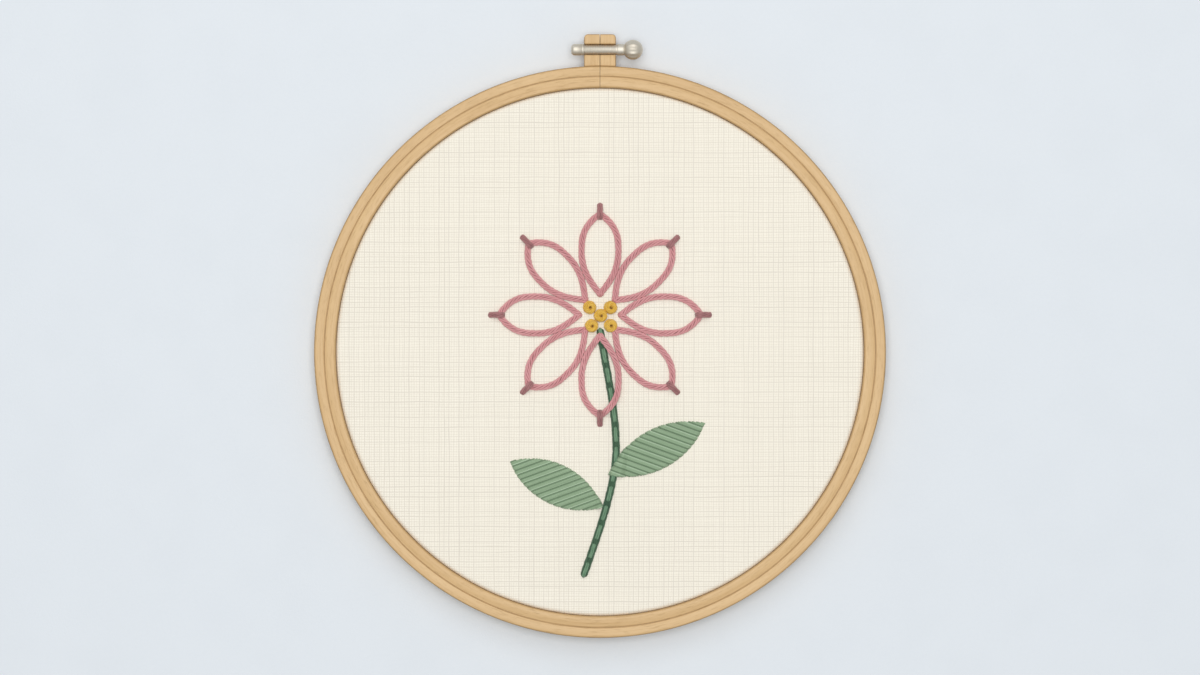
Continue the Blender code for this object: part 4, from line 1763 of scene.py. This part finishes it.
@dataclass
class Stem:
    """The stem: overlapping dark green stitches, with lighter running stitches along it.

    Attributes:
        line: Its middle line.
        rope: The floss of the dark green stitches.
        dash: The floss of the running stitches.
        stitches: How many there are of each.
        half_spread: How far a dark stitch's two ends are from the middle line.
        overlap: How far it goes past its neighbours' ends, in stitches.
        tip_radius: The radius of the stem's rounded tips.
        dip: How far a stitch's ends go down.
        dash_share: The length of a running stitch, in stitches.
        dash_sunk: How far it lies in the rope.
        hole_inset: How far the outermost holes are from the line's ends.
    """

    line: StemLine
    rope: Floss = Floss(width=1.28, height=0.85, strand_radius=0.27, twist_pitch=14.0)
    dash: Floss = Floss(width=1.02, height=0.52, strand_radius=0.20, twist_pitch=26.0)
    stitches: int = 13
    half_spread: float = 0.45
    overlap: float = 0.25
    tip_radius: float = 0.97
    dip: float = 0.75
    dash_share: float = 0.765
    dash_sunk: float = 0.08
    hole_inset: float = 0.6

    def dipped(self, plan: np.ndarray, middle: float, reach: float) -> np.ndarray:
        """A route over its plan that dives under at both ends.

        Args:
            plan: The route's plan.
            middle: The height of the thread's middle over the linen.
            reach: The length of each dive.

        Returns:
            The route in three dimensions.
        """
        dive = 1.0 - smooth_share(from_ends(travelled(plan)), 0.0, reach)
        return np.column_stack((plan, LINEN_FACE + middle - self.dip * dive))

    def rope_shape(self) -> Shape:
        """The stem stitches: each starts on the right, crosses half way and ends on the left.

        Returns:
            All the stitches.
        """
        pitch = self.line.length / self.stitches
        shapes = []
        for i in range(-1, self.stitches + 1):
            phase = np.linspace(-self.overlap, 2.0 + self.overlap, 56)
            places = (i - 0.5 + phase) * pitch
            inside = (places >= 0.0) & (places <= self.line.length)
            if inside.sum() < 8:
                continue
            places, phase = places[inside], phase[inside]
            from_tip = np.minimum(places, self.line.length - places)
            cap = np.sqrt(1.0 - np.clip(1.0 - from_tip / self.tip_radius, 0.0, 1.0) ** 2)
            offsets = self.half_spread * (1.0 - 2.0 * smooth_share(phase, 0.75, 1.25)) * cap
            plan = self.line.stretch(places[0], places[-1], offsets)
            route = self.dipped(plan, self.rope.height / 2, 1.3)
            shapes.append(self.rope.laid(route, 40 + i, pinched=0.8))
        return Shape.joined(shapes)

    def dash_shape(self) -> Shape:
        """The running stitches on top of the rope.

        Returns:
            All the stitches.
        """
        length = self.line.length
        pitch = length / (self.stitches - 1 + self.dash_share)
        shapes = []
        for i in range(self.stitches):
            start = i * pitch
            plan = self.line.stretch(start, start + self.dash_share * pitch, np.zeros(24))
            route = self.dipped(plan, self.rope.height + self.dash.height / 2 - self.dash_sunk, 0.4)
            shapes.append(self.dash.laid(route, 80 + i, pinched=0.45))
        return Shape.joined(shapes)

    def build(self, effects: SharedEffects) -> list[bpy.types.Object]:
        """Builds the stem's stitches, and what is carried behind the linen between them.

        Args:
            effects: The shared shader groups.

        Returns:
            The pieces.
        """
        dark_green = DARK_GREEN.made(effects)
        rope = self.rope_shape().as_object("stem_stitches")
        dashes = self.dash_shape().as_object("stem_running_stitches")
        inset = self.hole_inset
        pitch = (self.line.length - 2.0 * inset) / self.stitches
        holes = along_route(self.line.points, inset + pitch * np.arange(self.stitches + 1))
        behind = carried_behind("stem_carried_behind", self.rope, list(zip(holes[:-1], holes[1:])))
        return [
            settle(rope, Body.HOOP, dark_green, DARK_GREEN.slot, "stem"),
            settle(dashes, Body.HOOP, MOSS.made(effects), MOSS.slot),
            settle(behind, Body.HOOP, dark_green, DARK_GREEN.slot),
        ]


@dataclass
class Flower:
    """Eight looped petals, each held by a tacking stitch over its tip.

    Distances are from the flower's centre.

    Attributes:
        stem: The stem's line, which some petals cross.
        petals: How many petals there are.
        inner_tip: Where a loop starts.
        widest_at: Where it is widest.
        outer_tip: Where it ends.
        half_width: Half its greatest width.
        inner_fullness: How full its inner half is. 1 is a straight side.
        outer_fullness: The same for its outer half.
        loop: Its floss.
        loop_sunk: How far it presses into the linen.
        hole_reach: How far inside its inner tip its hole is.
        tack: The tacking stitch's floss.
        tack_points: The tacking stitch's line, as distance and height over the linen.
        tack_holes: Where the tacking stitch comes up and goes down.
    """

    stem: StemLine
    centre: tuple[float, float] = FLOWER_CENTRE
    petals: int = 8
    inner_tip: float = 6.2
    widest_at: float = 18.2
    outer_tip: float = 29.12
    half_width: float = 5.32
    inner_fullness: float = 2.1
    outer_fullness: float = 3.0
    loop: Floss = Floss(width=1.86, height=1.05)
    loop_sunk: float = 0.02
    hole_reach: float = 1.0
    tack: Floss = Floss(width=1.72, height=0.9, strands=7, strand_radius=0.29, twist_pitch=12.0)
    tack_points: tuple[tuple[float, float], ...] = (
        (27.72, -0.45),
        (27.78, 0.30),
        (28.10, 1.15),
        (28.75, 1.58),
        (29.65, 1.56),
        (30.38, 1.12),
        (30.95, 0.66),
        (31.45, 0.42),
        (31.90, 0.05),
        (32.05, -0.45),
    )
    tack_holes: tuple[float, float] = (27.8, 31.9)

    def loop_half_width(self, distance: np.ndarray) -> np.ndarray:
        """Half the loop's width.

        Args:
            distance: Distances from the flower's centre.

        Returns:
            Half the width at each.
        """
        inner = np.clip((self.widest_at - distance) / (self.widest_at - self.inner_tip), 0.0, 1.0)
        outer = np.clip((distance - self.widest_at) / (self.outer_tip - self.widest_at), 0.0, 1.0)
        share = (1.0 - inner**self.inner_fullness) * (1.0 - outer**self.outer_fullness)
        return self.half_width * share

    def loop_plan(self) -> np.ndarray:
        """The loop's plan for a petal along +Y: up its right side and down its left.

        Returns:
            The plan's points.
        """
        share = (1.0 - np.cos(np.linspace(0.0, math.pi, 90))) / 2.0
        distance = self.inner_tip + (self.outer_tip - self.inner_tip) * share
        legs_apart = 0.12 * np.exp(-(distance - self.inner_tip) / 0.9)
        right = np.stack((self.loop_half_width(distance) + legs_apart, distance), axis=1)
        right[-1, 0] = 0.0
        foot = [(0.04, self.inner_tip - self.hole_reach)]
        side = np.concatenate((foot, right))
        left = side[-2::-1] * np.array((-1.0, 1.0))
        return rounded(evenly(np.concatenate((side, left)), 0.22), 5)

    def placed(self, plan: np.ndarray, number: int) -> np.ndarray:
        """Turns a plan to its petal and moves it to the flower's centre.

        Args:
            plan: A plan for a petal along +Y.
            number: The petal's number.

        Returns:
            The plan in its place.
        """
        turn = -math.tau * (number - 1) / self.petals
        cos, sin = math.cos(turn), math.sin(turn)
        x, y = plan[:, 0], plan[:, 1]
        return np.stack((x * cos - y * sin, x * sin + y * cos), axis=1) + np.array(self.centre)

    def holes(self, distance: float) -> np.ndarray:
        """The places at one distance from the flower's centre, on each petal's middle line."""
        numbers = range(1, self.petals + 1)
        return np.concatenate([self.placed(np.array([(0.0, distance)]), n) for n in numbers])

    def petal_shape(self, number: int) -> Shape:
        """One petal's loop, which comes up and goes down at its inner tip.

        Args:
            number: The petal's number.

        Returns:
            The loop.
        """
        plan = self.placed(self.loop_plan(), number)
        dive = 1.1 * (1.0 - smooth_share(from_ends(travelled(plan)), 0.0, 0.8))
        middle = LINEN_FACE + self.loop.height / 2 - self.loop_sunk
        heights = middle - dive + self.stem.lift_at(plan)
        return self.loop.laid(np.column_stack((plan, heights)), number, pinched=1.5)

    def tack_shape(self, number: int) -> Shape:
        """One tacking stitch, up inside the loop and down outside it.

        Args:
            number: The petal's number.

        Returns:
            The stitch.
        """
        side_view = evenly(rounded(evenly(np.array(self.tack_points), 0.1), 6), 0.18)
        plan = np.stack((np.zeros(len(side_view)), side_view[:, 0]), axis=1)
        route = np.column_stack((self.placed(plan, number), LINEN_FACE + side_view[:, 1]))
        return self.tack.laid(route, 20 + number, pinched=0.6)

    def build(self, effects: SharedEffects) -> list[bpy.types.Object]:
        """Builds the petals and their tacking stitches, on both sides of the linen.

        Args:
            effects: The shared shader groups.

        Returns:
            The pieces.
        """
        pink, dark_pink = PINK.made(effects), DARK_PINK.made(effects)
        pieces = []
        for number in range(1, self.petals + 1):
            loop = self.petal_shape(number).as_object(f"petal_loop_{number}")
            pieces.append(settle(loop, Body.HOOP, pink, PINK.slot, f"petal_{number}"))
            tack = self.tack_shape(number).as_object(f"tacking_stitch_{number}")
            pieces.append(settle(tack, Body.HOOP, dark_pink, DARK_PINK.slot, f"tack_{number}"))
        centre_holes = self.holes(self.inner_tip - self.hole_reach)
        comes_up, goes_down = (self.holes(distance) for distance in self.tack_holes)
        loops_behind = list(zip(centre_holes[:-1], centre_holes[1:]))
        tacks_behind = list(zip(goes_down[:-1], comes_up[1:]))
        behind = carried_behind("loops_carried_behind", self.loop, loops_behind)
        pieces.append(settle(behind, Body.HOOP, pink, PINK.slot))
        behind = carried_behind("tacks_carried_behind", self.tack, tacks_behind)
        pieces.append(settle(behind, Body.HOOP, dark_pink, DARK_PINK.slot))
        return pieces


@dataclass
class FrenchKnots:
    """Five French knots: floss wound round the needle, and down through the middle.

    Attributes:
        places: Each knot's place from the flower's centre.
        floss: The knots' floss.
        windings: How often it is wound round.
        outer_radius: The radius of the lowest winding's middle line.
        upper_radius: The radius of the uppermost winding's.
        painted_hollow_radius: How wide the painted shade down the knot's middle is.
        lean: How far a knot's top leans over.
    """

    centre: tuple[float, float] = FLOWER_CENTRE
    places: tuple[tuple[float, float], ...] = (
        (0.15, -0.15),
        (-3.03, 2.15),
        (3.03, 2.15),
        (-2.45, -3.10),
        (3.03, -3.10),
    )
    floss: Floss = Floss(
        width=1.42, height=1.20, strand_radius=0.29, twist_pitch=5.5, ply_pitch=1.2
    )
    windings: float = 2.3
    outer_radius: float = 1.26
    upper_radius: float = 0.93
    painted_hollow_radius: float = 0.72
    lean: tuple[float, float] = (0.26, -0.15)

    def route(self, start: float) -> np.ndarray:
        """The wound thread's middle line about the knot's own axis.

        Args:
            start: The angle at which it comes up, in radians.

        Returns:
            The route, with its heights from the linen.
        """
        share = np.linspace(0.0, 1.0, 120)
        angle = start + math.tau * self.windings * share
        upper = smooth_share(share, 0.3, 0.9)
        radius = self.outer_radius + (self.upper_radius - self.outer_radius) * upper
        radius = radius * (1.0 - 0.8 * smooth_share(share, 0.86, 1.0))
        coming_up = 0.9 * (1.0 - smooth_share(share, 0.0, 0.1))
        going_down = 1.25 * smooth_share(share, 0.88, 1.0)
        height = 0.48 + 0.86 * smooth_share(share, 0.22, 0.75)
        height -= coming_up + going_down
        plan = np.stack((radius * np.cos(angle), radius * np.sin(angle)), axis=1)
        return np.column_stack((plan + upper[:, None] * self.lean, height))

    def shape(self, number: int) -> Shape:
        """One knot, turned its own way, with painted shade down its middle.

        Args:
            number: The knot's number.

        Returns:
            The knot.
        """
        x, y = self.places[number - 1]
        at = np.array((self.centre[0] + x, self.centre[1] + y, LINEN_FACE))
        route = evenly(self.route(2.1 * number), 0.17) + at
        knot = self.floss.laid(route, 60 + number)
        # Painted shade down the knot's middle.
        from_axis = np.linalg.norm(knot.points[:, :2] - at[:2] - self.lean, axis=1)
        hollow_shade = 1.0 - smooth_share(from_axis, 0.30, self.painted_hollow_radius)
        knot.fields["crease"] = np.maximum(knot.fields["crease"], hollow_shade)
        return knot

    def build(self, effects: SharedEffects) -> list[bpy.types.Object]:
        """Builds the knots, and what is carried behind the linen between them.

        Args:
            effects: The shared shader groups.

        Returns:
            The pieces.
        """
        gold = GOLD.made(effects)
        pieces = []
        for number in range(1, len(self.places) + 1):
            knot = self.shape(number).as_object(f"french_knot_{number}")
            pieces.append(settle(knot, Body.HOOP, gold, GOLD.slot, f"knot_{number}"))
        middles = np.array(self.places) + np.array(self.centre)
        steps = list(zip(middles[:-1], middles[1:]))
        behind = carried_behind("knots_carried_behind", self.floss, steps)
        pieces.append(settle(behind, Body.HOOP, gold, GOLD.slot))
        return pieces


@dataclass
class SatinLeaf:
    """A leaf of satin stitch: rows of strands side by side, over a low layer of padding.

    Attributes:
        side: Which side of the stem it is on.
        stem: The stem's line, which it is raised over.
        base: Its end at the stem.
        tip: Its other end.
        slope: The slope of its stitches, in degrees.
        half_width: Half its greatest width.
        row_pitch: About how far its rows are apart.
        row_fullness: How much of a row's width its strands take up.
        height: The height of the leaf beside its outline's middle.
        arch: How far a long stitch rises in its middle.
        row_round: How far a row's edges lie below its middle.
        full_from: How long a stitch is at the leaf's full height.
        tuck_share: The most of a stitch's length that is tucked in at each end.
        tuck_reach: The most of its length in millimetres.
        tuck_depth: How far its ends go down.
        shortest: The shortest stitch.
        seed: Settles how the strands take the dye.
        painted_highlight: How much paler each second row's strand at one edge is, a painted
            highlight.
        shade: How dark each row's strand at the other edge is, a painted shade.
        behind_share: The height of the leaf behind the linen, as a share of its height in front.
    """

    side: Side
    stem: StemLine
    base: tuple[float, float]
    tip: tuple[float, float]
    slope: float
    half_width: float = 5.95
    row_pitch: float = 1.456
    strands_a_row: int = 4
    row_fullness: float = 0.90
    strand_radius: float = 0.235
    height: float = 0.62
    arch: float = 0.34
    stations: int = 40
    shortest: float = 0.25
    row_round: float = 0.17
    full_from: float = 12.0
    tuck_share: float = 0.3
    tuck_reach: float = 0.9
    tuck_depth: float = 0.8
    sides: int = 8
    ply_pitch: float = 2.4
    seed: int = 5
    base_tone: float = 0.22
    painted_highlight: float = 0.8
    shade: float = 0.75
    padding_inset: int = 4
    behind_share: float = 0.45

    def frame(self) -> Outline:
        """The directions along a stitch and from one stitch to the next, towards the tip.

        Returns:
            Both directions.
        """
        slope = math.radians(self.slope)
        along = np.array((math.cos(slope), math.sin(slope)))
        beside = np.array((-along[1], along[0]))
        axis = np.array(self.tip) - np.array(self.base)
        return along, beside if beside @ axis > 0 else -beside

    def chord(self, offset: float) -> tuple[float, float] | None:
        """Where a stitch starts and ends on the leaf's outline, which is two arcs.

        Args:
            offset: The stitch's distance from the base, across the stitches.

        Returns:
            Both distances along the stitch from the line through the base, or None if it
            misses the leaf.
        """
        base, tip = np.array(self.base), np.array(self.tip)
        along, beside = self.frame()
        half_length = np.linalg.norm(tip - base) / 2
        axis = unit(tip - base)
        radius = (half_length**2 + self.half_width**2) / (2 * self.half_width)
        starts, ends = [], []
        for sign in (-1.0, 1.0):
            across_axis = np.array((-axis[1], axis[0])) * sign
            centre = (base + tip) / 2 + across_axis * (radius - self.half_width)
            centre = centre - (base + beside * offset)
            middle = centre @ along
            depth = radius**2 - (centre @ centre - middle**2)
            if depth <= 0.0:
                return None
            starts.append(middle - math.sqrt(depth))
            ends.append(middle + math.sqrt(depth))
        return max(starts), min(ends)

    def strand_lines(self) -> tuple[np.ndarray, np.ndarray, np.ndarray]:
        """The strands' middle lines.

        Returns:
            The lines, each strand's place in its row from -1 to 1, and each strand's row number.
        """
        along, beside = self.frame()
        span = (np.array(self.tip) - np.array(self.base)) @ beside
        rows = round(span / self.row_pitch)
        pitch = span / rows
        lines, places, numbers = [], [], []
        for i in range(rows * self.strands_a_row):
            row, strand = divmod(i, self.strands_a_row)
            place = (strand - (self.strands_a_row - 1) / 2) / (self.strands_a_row / 2)
            offset = (row + 0.5 + place * self.row_fullness / 2) * pitch
            found = self.chord(offset)
            if found is None or found[1] - found[0] < self.shortest:
                continue
            start = np.array(self.base) + beside * offset
            lines.append(self.strand_line(found, start, along, place))
            places.append(place)
            numbers.append(row)
        return np.array(lines), np.array(places), np.array(numbers)

    def strand_line(
        self, ends: tuple[float, float], start: np.ndarray, along: np.ndarray, place: float
    ) -> np.ndarray:
        """One strand's middle line, arched over the leaf and tucked into the linen at both ends.

        Args:
            ends: Where it starts and ends along the stitch.
            start: The stitch's point on the line through the base.
            along: The stitch's direction.
            place: Its place in its row, from -1 to 1.

        Returns:
            The line's points.
        """
        share = (1.0 - np.cos(np.linspace(0.0, math.pi, self.stations))) / 2.0
        length = ends[1] - ends[0]
        distance = ends[0] + length * share
        plan = start + along * distance[:, None]
        from_end = np.minimum(distance - ends[0], ends[1] - distance)
        tuck = min(self.tuck_share * length, self.tuck_reach)
        tucked = 1.0 - smooth_share(from_end, 0.0, tuck)
        fullness = min(length / self.full_from, 1.0)
        arch = self.arch * fullness * np.sin(math.pi * share) - self.row_round * abs(place) ** 2
        face = LINEN_FACE + self.height * (0.55 + 0.45 * fullness)
        height = face - self.strand_radius * 0.6 + arch
        height = height - self.tuck_depth * tucked + self.stem.lift_at(plan) * 0.85
        return np.column_stack((plan, height))

    def strands(self) -> Shape:
        """The satin strands: every second row has an edge strand with a painted highlight, each row
        one with painted shade, and every strand is painted darker underneath.

        Returns:
            All the strands.
        """
        lines, places, numbers = self.strand_lines()
        chance = np.random.default_rng(self.seed)
        from_shade = places * self.side.value
        # Painted highlight on the edge strand of every second row.
        painted_highlight = self.painted_highlight * ((from_shade == from_shade.max()) & (numbers % 2 == 0))
        tones = self.base_tone + painted_highlight + chance.uniform(-0.12, 0.12, len(lines))
        phases = chance.uniform(0.0, math.tau, len(lines))
        up = np.zeros_like(lines)
        up[..., 2] = 1.0
        tones = np.clip(tones, 0.0, 1.0)
        shape = strand_tubes(
            lines, up, self.strand_radius, self.sides, self.ply_pitch, tones, phases
        )
        points = shape.points.reshape(len(lines), self.stations, self.sides, 3)
        # Painted shade on each strand's underside and on each row's strand at the other edge.
        low = (lines[:, :, None, 2] - points[..., 2]) / self.strand_radius
        shaded = self.shade * (from_shade == from_shade.min())[:, None, None]
        shape.fields["crease"] = np.maximum(shaded, smooth_share(low, -0.2, 0.6)).reshape(-1)
        return shape

    def padding(self) -> Shape:
        """A low layer under the strands, so that no linen shows between them, painted dark as the
        shade between the rows.

        Returns:
            The layer, with the same fields as the strands.
        """
        lines, _, _ = self.strand_lines()
        inner = lines[:, self.padding_inset : -self.padding_inset].copy()
        inner[..., 2] -= self.strand_radius * 0.55
        rows, columns, _ = inner.shape
        sunk = inner.copy()
        sunk[..., 2] = LINEN_FACE - 0.3
        points = np.concatenate((inner.reshape(-1, 3), sunk.reshape(-1, 3)))
        top = grid_faces(rows, columns, round_columns=False)
        under = [tuple(corner + rows * columns for corner in face) for face in top]
        rim = list(range(columns))
        rim += [row * columns + columns - 1 for row in range(1, rows)]
        rim += [(rows - 1) * columns + column for column in range(columns - 2, -1, -1)]
        rim += [row * columns for row in range(rows - 2, 0, -1)]
        walls = [
            (here, there, there + rows * columns, here + rows * columns)
            for here, there in zip(rim, rim[1:] + rim[:1])
        ]
        ones = np.ones(len(points))
        # The crease field of 0.8 paints the layer dark, as painted shade between the rows.
        fields = {
            "winding": np.column_stack((points[:, 0], ones * 0.7, ones * 0.7)),
            "tone": ones * 0.0,
            "crease": ones * 0.8,
        }
        return Shape(points, top + under + walls, fields)

    def built(self) -> bpy.types.Object:
        """Builds the whole leaf, with its stitches on both sides of the linen.

        Returns:
            The leaf as an object.
        """
        face = Shape.joined((self.strands(), self.padding()))
        behind = face.points.copy()
        behind[:, 2] = LINEN_BACK - self.behind_share * (behind[:, 2] - LINEN_FACE)
        both = Shape.joined((face, Shape(behind, face.faces, face.fields)))
        return both.as_object(f"satin_leaf_{self.side.name.lower()}")


@dataclass
class Leaves:
    """The two satin leaves."""

    stem: StemLine

    def build(self, effects: SharedEffects) -> list[bpy.types.Object]:
        """Builds both leaves.

        Args:
            effects: The shared shader groups.

        Returns:
            The pieces.
        """
        sage = SAGE.made(effects)
        leaves = (
            SatinLeaf(Side.RIGHT, self.stem, (2.35, -35.45), (30.55, -20.6), -20.0, seed=5),
            SatinLeaf(Side.LEFT, self.stem, (1.00, -44.70), (-26.25, -31.70), 20.0, seed=9),
        )
        return [
            settle(leaf.built(), Body.HOOP, sage, SAGE.slot, f"leaf_{leaf.side.name.lower()}")
            for leaf in leaves
        ]


# ---------------------------------------------------------------- studio


@dataclass
class Studio:
    """The ground, the light and a camera straight above.

    Attributes:
        picture_width: The width of the whole picture where the hoop's face lies.
        hoop_below_centre: How far the hoop's middle is under the picture's.
        face_height: The height of the hoop's face.
        lens: The camera's focal length.
        sensor: The width of its sensor.
        ambient: The strength of the light from all round.
        key_power: The power of the light behind the clamp, in watts, and key_size is its side
            and key_place its place, in metres.
        overhead_power: The same for the light straight above.
        ground_half: Half the ground's side, in metres.
    """

    picture_width: float = 346.03
    hoop_below_centre: float = 4.18
    face_height: float = 9.0
    lens: float = 120.0
    sensor: float = 36.0
    ambient: float = 0.40
    key_power: float = 3.9
    key_size: float = 0.9
    key_place: tuple[float, float, float] = (-0.06, 0.72, 1.15)
    overhead_power: float = 11.8
    overhead_size: float = 0.7
    overhead_place: tuple[float, float, float] = (0.0, 0.05, 1.55)
    ground_half: float = 2.0

    def add_camera(self) -> None:
        """Puts the camera straight above, as far off as the picture's width asks."""
        data = bpy.data.cameras.new("camera")
        data.lens = self.lens
        data.sensor_width = self.sensor
        data.clip_start = 0.01
        camera = bpy.data.objects.new("camera", data)
        away = self.picture_width * self.lens / self.sensor
        aim_y = HOOP_MIDDLE[1] + self.hoop_below_centre
        camera.location = (0.0, aim_y * MM, (self.face_height + away) * MM)
        bpy.context.scene.collection.objects.link(camera)
        bpy.context.scene.camera = camera

    def add_light(
        self, name: str, power: float, size: float, place: tuple[float, float, float]
    ) -> None:
        """Adds a square light that faces the hoop.

        Args:
            name: The light's name.
            power: Its power in watts.
            size: Its side in metres.
            place: Where it is, in metres.
        """
        data = bpy.data.lights.new(name, "AREA")
        data.energy = power
        data.size = size
        lamp = bpy.data.objects.new(name, data)
        lamp.location = place
        direction = -np.array(place)
        flat = math.hypot(direction[0], direction[1])
        tilt, heading = math.atan2(flat, -direction[2]), math.atan2(-direction[0], direction[1])
        lamp.rotation_euler = (tilt, 0.0, heading)
        bpy.context.scene.collection.objects.link(lamp)

    def add_world(self) -> None:
        """Fills the room with soft, nearly white light."""
        world = bpy.data.worlds.new("soft_room")
        world.use_nodes = True
        background = world.node_tree.nodes["Background"]
        background.inputs["Color"].default_value = rgb(0.96, 0.99, 1.0)
        background.inputs["Strength"].default_value = self.ambient
        bpy.context.scene.world = world

    def add_ground(self, effects: SharedEffects) -> None:
        """Lays the pale ground under the hoop.

        Args:
            effects: The shared shader groups.
        """
        half = self.ground_half
        mesh = bpy.data.meshes.new("ground")
        corners = [(-half, -half, 0.0), (half, -half, 0.0), (half, half, 0.0), (-half, half, 0.0)]
        mesh.from_pydata(corners, [], [(0, 1, 2, 3)])
        ground = bpy.data.objects.new("ground", mesh)
        bpy.context.scene.collection.objects.link(ground)
        mesh.materials.append(GroundFinish().made(effects))

    def build(self, effects: SharedEffects) -> None:
        """Builds the whole studio.

        Args:
            effects: The shared shader groups.
        """
        self.add_ground(effects)
        self.add_world()
        self.add_light("key_light", self.key_power, self.key_size, self.key_place)
        self.add_light(
            "overhead_light", self.overhead_power, self.overhead_size, self.overhead_place
        )
        self.add_camera()
        bpy.context.scene.view_settings.view_transform = "Standard"
        LOG.info("studio: ground, two lights and camera")


def main() -> None:
    """Builds every piece in order, then the studio."""
    logging.basicConfig(level=logging.INFO, format="%(name)s: %(message)s")
    effects = SharedEffects()
    ring = Hoop().build(effects)
    Clamp().build(effects)
    drum = LinenDrum()
    linen = drum.build(effects)
    stem_line = StemLine()
    stitches = Stem(stem_line).build(effects)
    stitches += Flower(stem_line).build(effects)
    stitches += FrenchKnots().build(effects)
    stitches += Leaves(stem_line).build(effects)
    Studio().build(effects)


if __name__ == "__main__":
    main()
